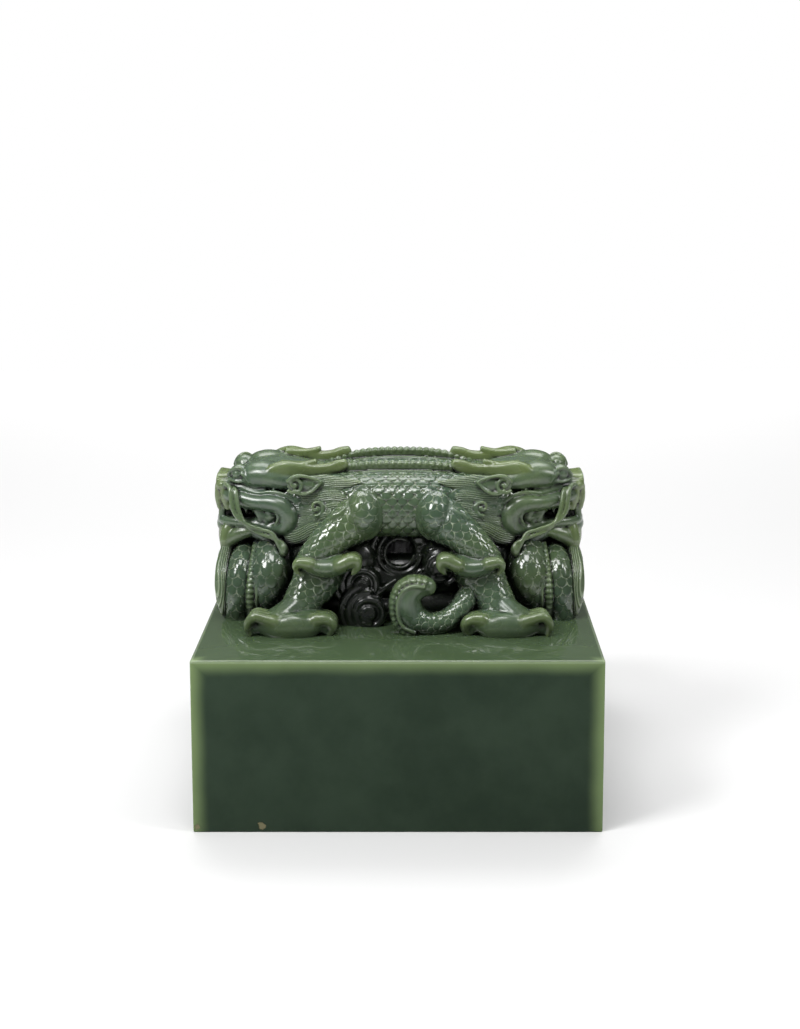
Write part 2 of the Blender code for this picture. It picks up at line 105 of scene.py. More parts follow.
class Forms:
    # A heap of closed forms in one mesh, with the path of each, by which its skin is carved later

    def __init__(self, fold):
        self.mesh = bmesh.new()
        self.paths = []
        self.fold = fold
        self.tone = 0.0   # painted light and shade: 1 for a pale glow of light through thin tips and edges, -1 for near black shade in the depths

    def tube(self, rows, wide=(0, 1, 0), grain="smooth", fine=1.0, blunt=1.0, square=1.0, **cut):
        # A row is a place, half the width along wide and half the thickness, which may be left out
        rows = [tuple(row) if len(row) == 5 else (*row, row[3]) for row in rows]
        flat = np.array(rows)
        span = np.linalg.norm(np.diff(flat[:, :3], axis=0), axis=1).max()
        steps = max(1, int(span * fine / tubes["ringStep"]))
        path = smoothPath(rows, steps)
        around = 2 * math.pi * path[:, 3:].mean() * fine / tubes["sideStep"]
        sides = int(min(tubes["mostSides"], max(tubes["fewestSides"], around)))
        centres = [Vector(row[:3]) for row in path]
        wide = Vector(wide)
        last = len(path) - 1
        rings = []
        for i, row in enumerate(path):
            along = (centres[min(i + 1, last)] - centres[max(i - 1, 0)]).normalized()
            rings.append((centres[i], along, row[3], row[4]))
        self.keepPath(rings, wide, grain, cut)
        for end, sign in ((0, -1), (-1, 1)):
            place, along, halfWide, halfThick = rings[end]
            reach = min(halfWide, halfThick)
            for share in tubes["capRings"]:
                shrink = math.sqrt(1 - share * share)
                tip = place + along * sign * share * reach * blunt
                ring = (tip, along, halfWide * shrink, halfThick * shrink)
                rings.insert(0 if sign < 0 else len(rings), ring)
        part = bmesh.new()
        at = ringMatrix(rings[0][0], rings[0][1], wide, *rings[0][2:])
        loop = bmesh.ops.create_circle(part, cap_ends=True, segments=sides, radius=1)["verts"]
        for vert in loop:
            vert.co.x = math.copysign(abs(vert.co.x) ** square, vert.co.x)
            vert.co.y = math.copysign(abs(vert.co.y) ** square, vert.co.y)
        bmesh.ops.transform(part, matrix=at, verts=loop)
        edges = list(part.edges)
        for place, along, halfWide, halfThick in rings[1:]:
            made = bmesh.ops.extrude_edge_only(part, edges=edges)["geom"]
            loop = [item for item in made if isinstance(item, bmesh.types.BMVert)]
            ends = set(loop)
            edges = [item for item in made if isinstance(item, bmesh.types.BMEdge)]
            edges = [edge for edge in edges if edge.verts[0] in ends and edge.verts[1] in ends]
            to = ringMatrix(place, along, wide, halfWide, halfThick)
            bmesh.ops.transform(part, matrix=to @ at.inverted(), verts=loop)
            at = to
        bmesh.ops.edgenet_fill(part, edges=edges)
        data = bpy.data.meshes.new("part")
        part.to_mesh(data)
        part.free()
        self.mesh.from_mesh(data)
        bpy.data.meshes.remove(data)

    def keepPath(self, rings, wide, grain, cut):
        centres = np.array([tuple(ring[0]) for ring in rings])
        along = np.array([tuple(ring[1]) for ring in rings])
        side = np.array(wide)[None, :] - (along @ np.array(wide))[:, None] * along
        side /= np.linalg.norm(side, axis=1)[:, None]
        steps = np.linalg.norm(np.diff(centres, axis=0), axis=1)
        self.paths.append({
            "centres": centres, "along": along, "side": side, "up": np.cross(along, side),
            "half": np.array([ring[2:] for ring in rings]), "at": np.concatenate([[0], np.cumsum(steps)]),
            "grain": grain, "cut": cut, "tone": self.tone,
        })

    def egg(self, centre, radii, tilt=0.0, grain="smooth", **cut):
        turn = Matrix.Rotation(math.radians(tilt), 3, "Y")
        rows = []
        for share in tubes["eggRings"]:
            shrink = math.sqrt(1 - share * share)
            place = Vector(centre) + turn @ Vector((0, 0, share * radii[2]))
            rows.append((*place, radii[1] * shrink, radii[0] * shrink))
        self.tube(rows, wide=(0, 1, 0), grain=grain, blunt=0.15, **cut)

    def roll(self, points, radius, endRadius=None, **more):
        endRadius = radius if endRadius is None else endRadius
        last = len(points) - 1
        rows = [(*p, radius + (endRadius - radius) * i / last) for i, p in enumerate(points)]
        self.tube(rows, fine=tubes["rollFine"], **more)

    def beads(self, points, radii, pitch):
        path = smoothPath(points, 16)
        lengths = np.concatenate([[0], np.cumsum(np.linalg.norm(np.diff(path, axis=0), axis=1))])
        count = int(lengths[-1] / pitch)
        for at in np.linspace(0, lengths[-1], count + 1):
            spot = [np.interp(at, lengths, path[:, axis]) for axis in range(3)]
            matrix = Matrix.Translation(spot) @ Matrix.Diagonal((*radii, 1))
            bmesh.ops.create_icosphere(self.mesh, subdivisions=3, radius=1, matrix=matrix)

    def repeat(self):
        # Mirrors or turns the layout into the seal's own frame, where the front is towards -Y
        bmesh.ops.scale(self.mesh, verts=self.mesh.verts, vec=(1, -1, 1))
        for scale in self.fold["copies"]:
            whole = [*self.mesh.verts, *self.mesh.edges, *self.mesh.faces]
            made = bmesh.ops.duplicate(self.mesh, geom=whole)["geom"]
            verts = [item for item in made if isinstance(item, bmesh.types.BMVert)]
            bmesh.ops.scale(self.mesh, verts=verts, vec=scale)
        bmesh.ops.scale(self.mesh, verts=self.mesh.verts, vec=self.fold["side"])
        bmesh.ops.recalc_face_normals(self.mesh, faces=self.mesh.faces)


def foldMirror(points):
    return np.stack([abs(points[:, 0]), abs(points[:, 1]), points[:, 2]], axis=1)


def foldTurn(points):
    toFront = np.where(points[:, 1] < 0, 1, -1)
    return np.stack([points[:, 0] * toFront, abs(points[:, 1]), points[:, 2]], axis=1)


# How each piece is laid into the seal: its copies, the side that it is on, and how a place folds back
folds = {
    "westEnd": {"copies": [(1, -1, 1)], "side": (-1, 1, 1), "back": foldMirror},
    "eastEnd": {"copies": [(1, -1, 1)], "side": (1, 1, 1), "back": foldMirror},
    "bothEnds": {"copies": [(1, -1, 1), (-1, 1, 1)], "side": (1, 1, 1), "back": foldMirror},
    "frontSide": {"copies": [(-1, 1, 1)], "side": (1, 1, 1), "back": foldMirror},
    "backSide": {"copies": [(-1, 1, 1)], "side": (1, -1, 1), "back": foldMirror},
    "halfTurn": {"copies": [(-1, -1, 1)], "side": (1, 1, 1), "back": foldTurn},
}


# The forms of the carving

def addSkull(forms):
    forms.tube([
        (29, 0, 42, 12.4, 7), (36, 0, 44.6, 12.4, 5.8), (42, 0, 46.4, 12.2, 4.4),
        (48, 0, 46.4, 10.6, 3.8), (53, 0, 45, 8.6, 2.9), (57, 0, 43.8, 7.4, 2.2), (60, 0, 43.2, 7, 1.8),
    ])
    forms.tube([(34, 0, 40.2, 14, 5), (42, 0, 40.4, 13.6, 4.6), (49, 0, 40.4, 11.8, 4.2),
                (55, 0, 40.2, 9.8, 3.8), (58.6, 0, 40, 8.4, 3.4)])
    forms.tube([
        (51.2, 7.6, 45.9, 5.6, 3.6), (49.2, 8.2, 46.3, 6.4, 4.5), (46, 8.8, 46.6, 6.8, 4.8),
        (42.6, 9.6, 46.2, 6.8, 4.5), (39, 10.4, 45.4, 6.2, 4.2), (35, 11.4, 44.8, 4.8, 3.2),
    ], square=0.9)
    forms.tube([(58.8, 6.8, 42.6, 3, 2.2), (54, 9, 42.6, 3.3, 2.4), (49.6, 10.6, 42.2, 3, 2),
                (45, 11.6, 42, 2.6, 1.6)])
    forms.egg((54.2, 8.2, 46.8), (3.5, 4.1, 3.2))
    forms.egg((54.6, 11.6, 47.2), (1.7, 1.6, 1.7))
    forms.roll([(57.8, 9.4, 46.2), (57, 11.2, 48.2), (54.8, 12.2, 49.6), (52.6, 12.6, 48.8),
                (51.4, 13, 47)], 0.75, 0.5)
    forms.roll([(57.4, 10.8, 45.4), (55, 12.5, 44.9), (52.6, 13.1, 45.2), (51, 13.5, 46.4)], 0.7, 0.45)
    forms.roll([(53, 13, 47.8), (51.6, 13.9, 46.6), (50.4, 14.4, 44.8)], 0.6, 0.4)
    # Painted glow: the nose, the front of the lip and the teeth are painted pale, as light coming through
    # thin stone
    forms.tone = 0.8
    forms.tube([(54.6, 0, 44.2, 4.4, 2), (58.2, 0, 44.1, 5.6, 2), (60.6, 0, 44.2, 6.8, 2),
                (62.2, 0, 44.4, 7.4, 2)], blunt=0.25, square=0.7)
    forms.egg((60, 7.8, 42.8), (2.3, 2.4, 2))
    forms.tube([(60, 0, 43.2, 7.6, 2.4), (60.4, 0, 39, 7.7, 2.3), (60.1, 0, 35.2, 7.2, 2)],
               blunt=0.5, square=0.8)
    for y in (1.7, 4.4, 7):
        forms.tube([(61.5, y, 42.4, 1.3), (61.7, y, 38.4, 1.25), (61.3, y, 34.9, 0.9)], fine=1.5)
    forms.tube([(58.8, 8, 42.2, 2.2), (58.5, 8.2, 38.6, 2.3), (58.3, 7.8, 35.4, 1.5)], fine=1.5)
    forms.tone = 0.0


def addMouth(forms):
    forms.egg((35.6, 0, 35), (8, 14.4, 8))
    forms.tube([
        (36, 0, 29.6, 12.6, 4.4), (44, 0, 28.6, 12.2, 3.5), (52, 0, 28.2, 10.8, 3.2),
        (58, 0, 28.2, 9, 2.8), (60.8, 0, 28.2, 7, 2.3),
    ], square=0.8)
    forms.egg((43.4, 7.2, 33.4), (5.6, 9.4, 4.4))
    forms.tube([(38, 0, 24.4, 11, 6), (47, 0, 22.4, 9, 5.6), (56, 0, 22.6, 6.4, 4.6)])
    forms.tube([(41, 0, 31.6, 4.6, 1.4), (49, 0, 31.8, 4.2, 1.2), (55, 0, 32.8, 3.2, 1),
                (58, 0, 34, 2, 0.8)])
    forms.tube([
        (58.8, 7, 37, 1.5), (54, 9.8, 36.9, 1.6), (49.8, 11.6, 36.7, 1.8), (47.2, 12.8, 35.4, 2.2),
        (46, 13.2, 33.6, 2.4), (46.4, 12.8, 31.8, 2), (49, 12, 31, 1.5),
    ])
    forms.tube([(60.2, 6.2, 35.4, 1.4), (60.6, 6.5, 31.8, 1.2), (60.2, 6.2, 29, 0.6)], fine=1.5)
    for x, y in ((61, 1.6), (60.8, 3.8), (56.8, 9), (54.4, 10), (51.8, 10.8), (49.2, 11.4)):
        forms.tube([(x, y, 35.8, 1), (x, y, 33.6, 0.4)], fine=1.5)
    forms.tube([
        (57.6, 9.8, 39.8, 2.1), (53.7, 12, 39.2, 2.5), (50, 13.5, 38.4, 2.6), (46.6, 14.5, 38.1, 2.7),
        (43, 15.4, 38.2, 3), (39.4, 16.2, 37.4, 3.3), (36.9, 16.6, 34.8, 3.5), (37, 16.5, 31.6, 3.3),
        (39.2, 15.8, 29.6, 2.8), (42.8, 14.6, 29.2, 2.4), (46.6, 13.4, 30, 2), (52, 11.6, 30.6, 1.7),
        (57, 9.6, 30.6, 1.6), (60.4, 6, 30.4, 1.6), (61.2, 0, 30.2, 1.6),
    ])
    forms.roll([(45.4, 15.4, 36.4), (43.6, 16, 34.8), (43.4, 16, 32.8), (44.8, 15.4, 31.2)], 0.7, 0.4)
    forms.roll([(42.6, 17, 36.6), (40.8, 17.6, 34.8), (40.7, 17.6, 32.8), (42, 17, 30.8)], 0.75, 0.4)
    forms.roll([
        (54.6, 11.6, 42.8), (51, 13, 41.9), (47.4, 14.2, 41.3), (43.6, 15.2, 41.9), (39.4, 16.3, 41.6),
        (35.3, 17.2, 39.6), (32.6, 17.8, 36.8), (32, 17.9, 34), (33.1, 17.6, 30.6), (36.4, 17, 28),
    ], 0.75, 0.65)


def addBeard(forms):
    forms.tone = 0.7
    forms.tube([(59.2, 0, 28.6, 8.6, 2.8), (59.4, 0, 24.4, 8.6, 3), (59, 0, 21, 7.4, 2.6),
                (58.6, 0, 18.8, 5, 1.8)], blunt=0.5, square=0.75)
    forms.tube([(58.2, 8.4, 27.6, 2.6, 2.4), (58.8, 9, 24, 2.8, 2.6), (58.6, 8.6, 20.6, 2.2, 2)],
               square=0.8)
    forms.tone = 0.35
    forms.tube([(45.6, 12, 28.6, 2, 1.4), (50.6, 11, 27.6, 2.6, 2.2), (55, 9.6, 26, 3.2, 3),
                (58, 8.4, 23.8, 3.2, 3.2)])
    forms.tone = 0.15
    forms.tube([
        (58.8, 0, 21.6, 5.6, 1.8), (60.6, 0, 15.4, 7.2, 2.4), (60.8, 0, 9, 6, 2.2),
        (60, 0, 3.6, 2.4, 1.1),
    ], grain="hair")
    forms.tube([
        (58.6, 8.4, 21.4, 2.2, 1.9), (59, 13.4, 19, 2.6, 2), (59.4, 17.8, 15, 2.6, 2.3),
        (59.5, 20.2, 10, 2.2, 2.4), (59.2, 21.2, 5.4, 1.7, 1.9), (58.6, 21.4, 1.6, 0.9, 1.1),
    ], wide=(1, 1, 0), grain="hair")
    forms.tone = 0.0
    forms.tube([(47, 8.2, 27, 6, 4), (42.5, 10.2, 24.2, 5.4, 4), (39, 11.4, 20, 4.4, 4)])
    for i in range(4):                      # folds under the jaw
        forms.roll([(46.8 - 2.1 * i, 12.4 + 0.9 * i, 27.4),
                    (44.4 - 2.1 * i, 13.6 + 0.8 * i, 24.4 - 0.4 * i),
                    (41.2 - 1.5 * i, 14.4 + 0.7 * i, 21 - 0.6 * i)], 0.8, 0.4)


def addWhisker(forms):
    forms.tone = 0.05
    for side in (-1, 1):
        x, z = 0.94 * side, 0.66 * side
        forms.tube([
            (59 + 0.5 * x, 9.2, 42 + z, 0.7), (57.4 + x, 12, 43.1 + z, 0.8),
            (55.9 + x, 14.4, 42.6 + 0.5 * z, 0.85), (55.3 + x, 16, 39.4, 0.85),
            (54.5 + x, 17, 35.8, 0.8), (52.6 + x, 17.8, 32.6 + z, 0.75),
            (49.8 + 0.5 * x, 18.2, 30.5 + 1.3 * z, 0.68), (46, 18.6, 29.1 + 1.3 * z, 0.66),
            (42.4, 19.2, 28 + 1.3 * z, 0.7), (39.8 + x, 19.8, 25.8 + 0.5 * z, 0.85),
            (38.6 + x, 20, 23.6, 0.85),
        ], fine=2)
    forms.egg((38.5, 20, 23.2), (1.7, 1.6, 2.6))
    forms.tone = 0.0


def addHorn(forms):
    # Painted glow: the horns are painted pale, as light coming through thin stone
    forms.tone = 0.8
    forms.tube([
        (44.4, 13.6, 47.4, 1.9, 1.9), (42, 13.2, 48.2, 2.3, 3), (38.6, 12.6, 48.4, 2.6, 3.7),
        (34.6, 11.8, 48.3, 2.5, 3.2), (30.8, 11.2, 48.2, 2.2, 2.6), (27, 11, 48.4, 2.1, 2.2),
        (23.6, 11, 48.7, 2, 2.3), (20.8, 11, 49.5, 1.9, 2.5), (18.9, 11, 50.4, 1.7, 2),
        (17.7, 11, 51, 1.5, 1.4),
    ], fine=1.3, blunt=0.2, square=0.62)
    forms.tube([
        (40, 10.6, 49.6, 2, 2.3), (36, 10.7, 49.7, 1.9, 1.9), (32.6, 10.8, 50, 1.8, 1.5),
        (29.8, 10.8, 50.8, 1.6, 1.2), (28, 10.8, 51.8, 1.3, 0.7),
    ], fine=1.3, blunt=0.2, square=0.62)
    forms.tone = 0.0


def addMane(forms):
    forms.tube([(32, 8, 36.4, 10.4, 10.6), (27, 9.4, 37.4, 10.4, 10.8), (21, 10.6, 38, 9.4, 10.6)],
               wide=(0, 0, 1), grain="hair")
    forms.tube([(33, 11.4, 28.4, 5.6, 6.4), (29, 13.6, 31.4, 6, 6.6), (24, 15.6, 34.4, 5, 6.4)],
               wide=(0, 0, 1), grain="hair")
    forms.tone = 0.15
    forms.egg((34.4, 19, 45.6), (3.2, 1.4, 3.2))   # the ear and its curl
    forms.roll(spiral((34.6, 20.9, 45.7), 0.3, 2.9, 1.35, 190, 0.15), 0.5, 0.65)
    forms.tube([(33, 18.8, 45.4, 1.8, 2.8), (30, 19.4, 45.3, 1.8, 2.6), (27.6, 20, 45.6, 1.4, 1.8),
                (26, 20.4, 46.2, 0.8, 0.8)])
    forms.roll([(36.8, 20.6, 46.8), (34.6, 21, 48.5), (31.8, 21, 48.6), (28.8, 21, 47.9), (26, 21, 46.8)],
               0.8, 0.5)
    forms.roll([(34.6, 21, 43.4), (32.4, 21.2, 42.6), (30, 21.4, 43), (27.8, 21.4, 44.4),
                (26, 21.2, 46.4)], 0.8, 0.5)
    locks = (
        ((31, 17.4, 44.4, 3.2, 1.6), (26, 18.6, 45, 3.8, 1.8), (20.6, 19.6, 45.4, 3, 1.6),
         (16, 20.8, 46.1, 1.5, 1.1), (12.8, 21.4, 46.8, 0.4, 0.5)),
        ((31.6, 17.8, 40.4, 3.2, 1.6), (26.4, 19.2, 41, 3.8, 1.8), (21.6, 20.6, 41.4, 3, 1.6),
         (18.6, 21.8, 41.4, 1.6, 1.1), (16.4, 22.6, 41.1, 0.5, 0.5)),
        ((31.6, 17.9, 36.2, 3.2, 1.6), (26.4, 19.6, 36.8, 3.8, 1.8), (22.4, 21.4, 37.8, 2.8, 1.5),
         (18.8, 23.2, 39, 1.2, 1), (17.2, 23.8, 39.6, 0.5, 0.5)),
        ((33.6, 17.4, 31.6, 3, 1.6), (29.4, 19, 33, 3.4, 1.7), (25.4, 21.2, 34.9, 2.6, 1.5),
         (21.8, 23.6, 36.4, 1, 0.9), (20.4, 24.2, 37, 0.4, 0.5)),
        ((37, 17, 26.6, 2.8, 1.6), (32, 19, 28.6, 3.2, 1.7), (27.6, 21.6, 31, 2.4, 1.5),
         (24.2, 23.8, 33, 1, 0.9), (23, 24.4, 33.8, 0.4, 0.5)),
    )
    for rows in locks:
        forms.tube(rows, wide=(0, 0, 1), grain="hair")
    forms.roll(spiral((27.4, 21.9, 38.2), 0.3, 2.7, 1.35, 150, 0.1), 0.5, 0.65)
    forms.tone = 0.0


def addBodies(forms):
    # One long barrel with its scales in rows down both sides, then the crest along its back
    half = [(0, 12.1, 37.4, 12.8, 11.2), (9, 12, 37.3, 12.8, 11.1), (18, 9.6, 37, 13, 11),
            (28, 5, 36.8, 14.5, 10.4), (38, 0, 37, 14, 8.4)]
    rows = [(-x, *rest) for x, *rest in reversed(half[1:])] + half
    forms.tube(rows, grain="scales", square=0.8, row=2.1, across=3.8, lift=0.6, around=True)
    half = [(0, 11.6, 49.9), (9, 11.4, 49.7), (17, 10.6, 48.6), (26, 9.2, 46)]
    crest = [(-x, *rest) for x, *rest in reversed(half[1:])] + half
    forms.tone = 0.3
    forms.tube([(*p, 1.1, 1.5) for p in crest], fine=1.5)
    forms.roll([(x, y + 2.1, z - 1.3) for x, y, z in crest], 0.6)
    forms.roll([(x, y - 2.1, z - 1.3) for x, y, z in crest], 0.6)
    forms.beads([(x, y, z + 1.0) for x, y, z in crest], (1.15, 1.5, 1.25), 2.15)
    forms.tone = 0.0


cordWay = {
    "height": 22.8,   # of its middle over the block
    "wall": 7.6,      # from there to the middle of its wall
    "thick": 3.5,
    "halfLength": 16.5,
    "posts": 14,      # tubes side by side that make the wall
}


def addCore(forms):
    # The mass under the bellies, left open where the cord's way goes through
    # Painted shade: the whole core is painted near black, as shade under the bellies
    forms.tone = -1.0
    for i in range(cordWay["posts"]):
        angle = i * math.tau / cordWay["posts"]
        x = cordWay["wall"] * math.cos(angle)
        z = cordWay["height"] + cordWay["wall"] * math.sin(angle)
        ends = [(x, y, z, cordWay["thick"]) for y in (-cordWay["halfLength"], cordWay["halfLength"])]
        forms.tube(ends, wide=(1, 0, 0))
    for side in (-1, 1):
        forms.tube([(side * 14, -18, 20, 7.6, 8), (side * 14, 18, 20, 7.6, 8)], wide=(1, 0, 0))
        forms.tube([(side * 27, -10, 18, 12, 12), (side * 27, 10, 18, 12, 12)], wide=(1, 0, 0))
        forms.tube([(side * 50, 0, 6, 17, 10), (side * 36, 0, 8, 20, 12)])
    forms.tube([(-36, 0, 4, 20, 11), (-14, 0, 4, 23, 11), (14, 0, 4, 23, 11), (36, 0, 4, 20, 11)])


def addCloud(forms, centre, radii, turns, starts, inner):
    # A scroll: a tight whorl in the middle and rolls round it, each lying further back
    x, y, z = centre
    forms.roll(spiral((x, y, z), 0.3, inner, 1.6, starts[0], 0.1), 0.85, 1.0)
    for i, (radius, share, start) in enumerate(zip(radii, turns, starts)):
        forms.roll(spiral((x, y - 0.8 - 0.9 * i, z), radius, radius, share, start, 0.06), 1.25, 1.1)
    forms.egg((x, y - 3.6, z), (radii[0] + 1.4, 3.6, radii[0] + 1.4))


def addClouds(forms):
    # Painted shade: the clouds are painted near black, as shade deep under the bellies
    forms.tone = -1.0
    forms.egg((0, 16, 12), (21, 7.4, 9.4))
    forms.egg((-16, 16, 15), (9, 7, 11))
    forms.egg((15, 16, 16), (9, 7, 10))
    addCloud(forms, (-12.1, 27, 13.3), (4.6, 6.9, 9.2), (1, 0.62, 0.42), (100, 110, 130), 2.7)
    addCloud(forms, (-9.9, 30, 4.3), (4.6, 6.9, 9.2), (1, 0.55, 0.42), (60, 90, 110), 2.7)
    rings = ((4.9, 0.7, 0.8, 60), (7, 0.9, 0.62, 130), (9.3, 1, 0.5, 140), (11.7, 1, 0.42, 160))
    for radius, thick, turns, start in rings:   # partial rings round the cord's way
        forms.roll(spiral((0, 22.4 - 0.16 * radius, 22.6), radius, radius, turns, start, 0.12), thick)
    addCloud(forms, (13.4, 25, 18.4), (4, 6.2), (0.8, 0.5), (0, 300), 2.2)
    forms.roll([(-7.6, 26, 9.6), (-4.4, 26.2, 12.4), (-1.4, 25.6, 14.4)], 1.2, 0.8)
    forms.roll([(-4.6, 26.2, 4), (-2.6, 26.4, 8), (0.4, 25.8, 12)], 1.4, 0.8)
    forms.tone = 0.0


def addTail(forms):
    rows = [
        (26, 26, 16, 3.4), (23.4, 28.6, 12, 3.6), (20.4, 32, 7.4, 3.8), (15.4, 35, 3.8, 3.6),
        (9.6, 36, 3.1, 3.8), (5, 36, 5.2, 4.4), (2.9, 36, 9.2, 4.7), (3.5, 36, 12.8, 4.5),
        (6.2, 36, 15, 3.9), (9, 36, 15.4, 3.2),
    ]
    forms.tube(rows, grain="scales", row=1.7, across=3.2, lift=0.22, until=0.66)
    ridge = [(5, 36, -0.4), (0.6, 36, 1.6), (-1.7, 36, 6), (-1.8, 36, 11.4), (0, 36, 15.6),
             (3.8, 36, 17.9), (8.6, 36, 17.6)]
    forms.tone = 0.2
    forms.tube([(*p, 3, 1.3) for p in ridge], fine=1.5)
    forms.beads(ridge, (1.45, 3.5, 0.8), 1.75)
    forms.beads(ridge, (0.8, 3.5, 1.45), 1.75)
    forms.roll([(x + 0.19 * (6 - x), y + 3.7, z + 0.16 * (9 - z)) for x, y, z in ridge], 0.6)
    forms.tone = 0.0


def addPaw(forms, pad, toe, toes, grip, grips):
    # A pad, with toes and gripping claws in rows: each has one outline, set at several places across
    forms.tone = 0.05
    forms.tube(pad, fine=1.2)
    forms.tone = 0.45
    for claw, places in ((toe, toes), (grip, grips)):
        for y in places:
            forms.tube([(x, y, z - 0.14 * (places[-1] - y), r) for x, z, r in claw], fine=1.5)


def addLegs(forms):
    forms.egg((11.9, 23, 36.2), (6.2, 8, 8.3), tilt=6, grain="scales", row=-2.1, across=3.6, lift=0.14)
    forms.roll([(10.4, 24.4, 44.2), (7.6, 25, 41.8), (6, 25.2, 38), (6, 25.4, 34), (7.4, 25.6, 30.6),
                (9.6, 26.2, 28.6)], 0.7, 0.5)
    forms.tube([(12, 22.4, 35.4, 7.2, 7.8), (15.4, 23.6, 33.8, 6.8, 7.6), (19.6, 25.4, 31, 6.4, 6.6),
                (24.2, 27.2, 27.2, 5.8, 5.8), (28, 28.6, 23.4, 5)],
               grain="scales", row=2.1, across=3.6, lift=0.24)
    forms.tube([
        (25.4, 25, 20.5, 5.8, 8.6), (26.8, 26.4, 16.4, 5.8, 8.2), (28.6, 27.8, 13, 5.6, 7.4),
        (31, 29.2, 9.6, 5.8, 6.4), (32.8, 31, 5, 6.4, 6.6),
    ], grain="scales", row=2.1, across=3.6, lift=0.24)
    forms.tube([(33, 31, 8.6, 4.6, 3.6), (37, 33, 6.4, 5.6, 3.2), (41, 34.6, 4.8, 5.8, 2.4)])
    forms.roll(spiral((20.2, 29, 35.4), 0.3, 2.6, 1.3, 20, 0.1), 0.5, 0.65)
    forms.tube([(22.6, 27.4, 34.6, 1.1), (19.6, 28.4, 37.4, 1.3), (17.4, 28, 39.8, 0.4)], fine=1.4)
    for x, z in ((23.6, 32.8), (26.4, 30.6), (29.2, 28.2), (31.4, 25.8)):
        tuft = [(x, 26.6, z - 1.2, 1.5), (x - 0.4, 27.2, z, 1.3), (x - 2.4, 27.2, z + 1.4, 0.4)]
        forms.tube(tuft, fine=1.4)
    addPaw(
        forms,
        [(16.4, 31, 22.4, 4.2, 2.6), (20, 31.2, 21.2, 4.8, 3.4), (24, 31.2, 20.6, 5.1, 3.4),
         (28, 31, 21.4, 4.8, 3), (31.6, 31, 22.6, 4.2, 2.2)],
        [(29, 22.4, 2.2), (32.4, 23, 1.7), (33.6, 21.6, 1.2), (33, 19.8, 0.8), (32, 18.8, 0.4)],
        (28, 31.2, 34.4),
        [(19, 22.2, 2.4), (15.8, 23.8, 2.3), (14, 23.6, 2), (13.6, 21.4, 1.5), (15, 19.4, 0.8)],
        (28.6, 32, 35),
    )
    forms.tone = 0.05
    forms.tube([(18, 33.4, 21.6, 1.8, 2.2), (24, 34, 20.8, 1.8, 2.6), (30, 33.4, 21.8, 1.6, 1.9)])
    addPaw(
        forms,
        [(26, 34.4, 3.8, 6.4, 3), (29, 34.6, 3.6, 6.8, 4), (34, 35, 3.4, 6.9, 4.1),
         (39, 35.2, 3, 6.7, 3.7), (42.6, 35.4, 2.9, 6, 2.7), (44.6, 35.6, 2.6, 5.2, 2.1)],
        [(40, 4.6, 2.3), (44.2, 5.9, 1.9), (46.6, 6.4, 1.8), (48.4, 4.6, 1.5), (48.8, 2, 1.1),
         (47.8, -0.2, 0.5)],
        (31.4, 35.6, 39.8),
        [(27, 5, 2.6), (23.8, 5.2, 2.2), (21.8, 4, 2), (21.4, 2, 1.5), (22.8, 0, 0.7)],
        (31, 35, 38.8),
    )
    # Painted shade: the fillers beside the lower claws are painted darker, as shade under them
    forms.tone = -0.25
    forms.egg((46.2, 36, 2.2), (2.6, 4.4, 3))
    forms.egg((24, 36, 2.2), (2.2, 4.2, 2.6))
    forms.tone = 0.05
    forms.tube([(26, 38.6, 3.2, 2.2, 2.4), (29.6, 39.2, 2.6, 2.8, 4), (34, 39.4, 2.6, 3.2, 4.9),
                (39, 39.2, 2.4, 3, 4.2), (43.4, 38.8, 3, 2.4, 3)])
    forms.tone = 0.0


def addCoils(forms):
    inner = [(44, 17, -2, 4), (43.6, 18.4, 3.6, 5.4), (43.3, 19, 9.6, 6.8), (43, 17.6, 15.4, 7.2),
             (43, 11, 19.8, 7), (43, -2, 21, 6.8)]
    # Painted shade: the coils are painted a little darker, as shade under the head
    forms.tone = -0.2
    forms.tube(inner, wide=(1, 0, 0), grain="scales", row=-2.2, across=3.8, lift=0.2)
    outer = [(54.4, 17.4, -3), (54.4, 18.8, 3), (54, 18.8, 9.6), (53.2, 15.6, 16), (52, 8, 18.6),
             (51.6, -2, 19)]
    outer = [(*p, 4.6, 5.2) for p in outer]
    forms.tube(outer, wide=(1, 0, 0), grain="scales", row=-2.2, across=3.8, lift=0.2)
    ridge = [(49, 22, -1), (49.4, 23, 6), (49.2, 22.6, 12), (48.6, 19.4, 18.4), (48, 12, 23.6),
             (47.6, -2, 25)]
    forms.tone = 0.3
    forms.tube([(*p, 1.6, 1.1) for p in ridge], wide=(1, 0, 0), fine=1.5)
    forms.beads([(x + 0.3, y + 0.6, z + 0.3) for x, y, z in ridge], (1.35, 1.1, 0.85), 1.75)
    forms.roll([(x - 2.1, y + 1.6, z + 0.4) for x, y, z in ridge], 0.55)
    forms.tone = 0.0
    forms.tube([(50.4, 15, -2, 4), (50.2, 15, 4, 4), (49.4, 14, 10, 4)])


# What each piece of the knob is made of, its skin's voxels in millimetres, the triangles that it is kept
# to and, as ease, how many times its skin is smoothed
headForms = (addSkull, addMouth, addBeard, addWhisker, addHorn, addMane)
pieces = {
    "dragon_bodies": {
        "fold": "halfTurn", "adds": (addBodies, addCore), "voxel": 0.34, "triangles": 190000, "ease": 3,
    },
    "tails_and_clouds": {
        "fold": "halfTurn", "adds": (addTail, addClouds), "voxel": 0.34, "triangles": 130000, "ease": 3,
    },
    "west_head": {"fold": "westEnd", "adds": headForms, "voxel": 0.32, "triangles": 160000, "ease": 3},
    "east_head": {"fold": "eastEnd", "adds": headForms, "voxel": 0.32, "triangles": 160000, "ease": 3},
    "front_legs": {"fold": "frontSide", "adds": (addLegs,), "voxel": 0.32, "triangles": 120000, "ease": 12},
    "back_legs": {"fold": "backSide", "adds": (addLegs,), "voxel": 0.32, "triangles": 120000, "ease": 12},
    "coils": {"fold": "bothEnds", "adds": (addCoils,), "voxel": 0.34, "triangles": 110000, "ease": 3},
}


# Relief: heights in millimetres at places along and round a form

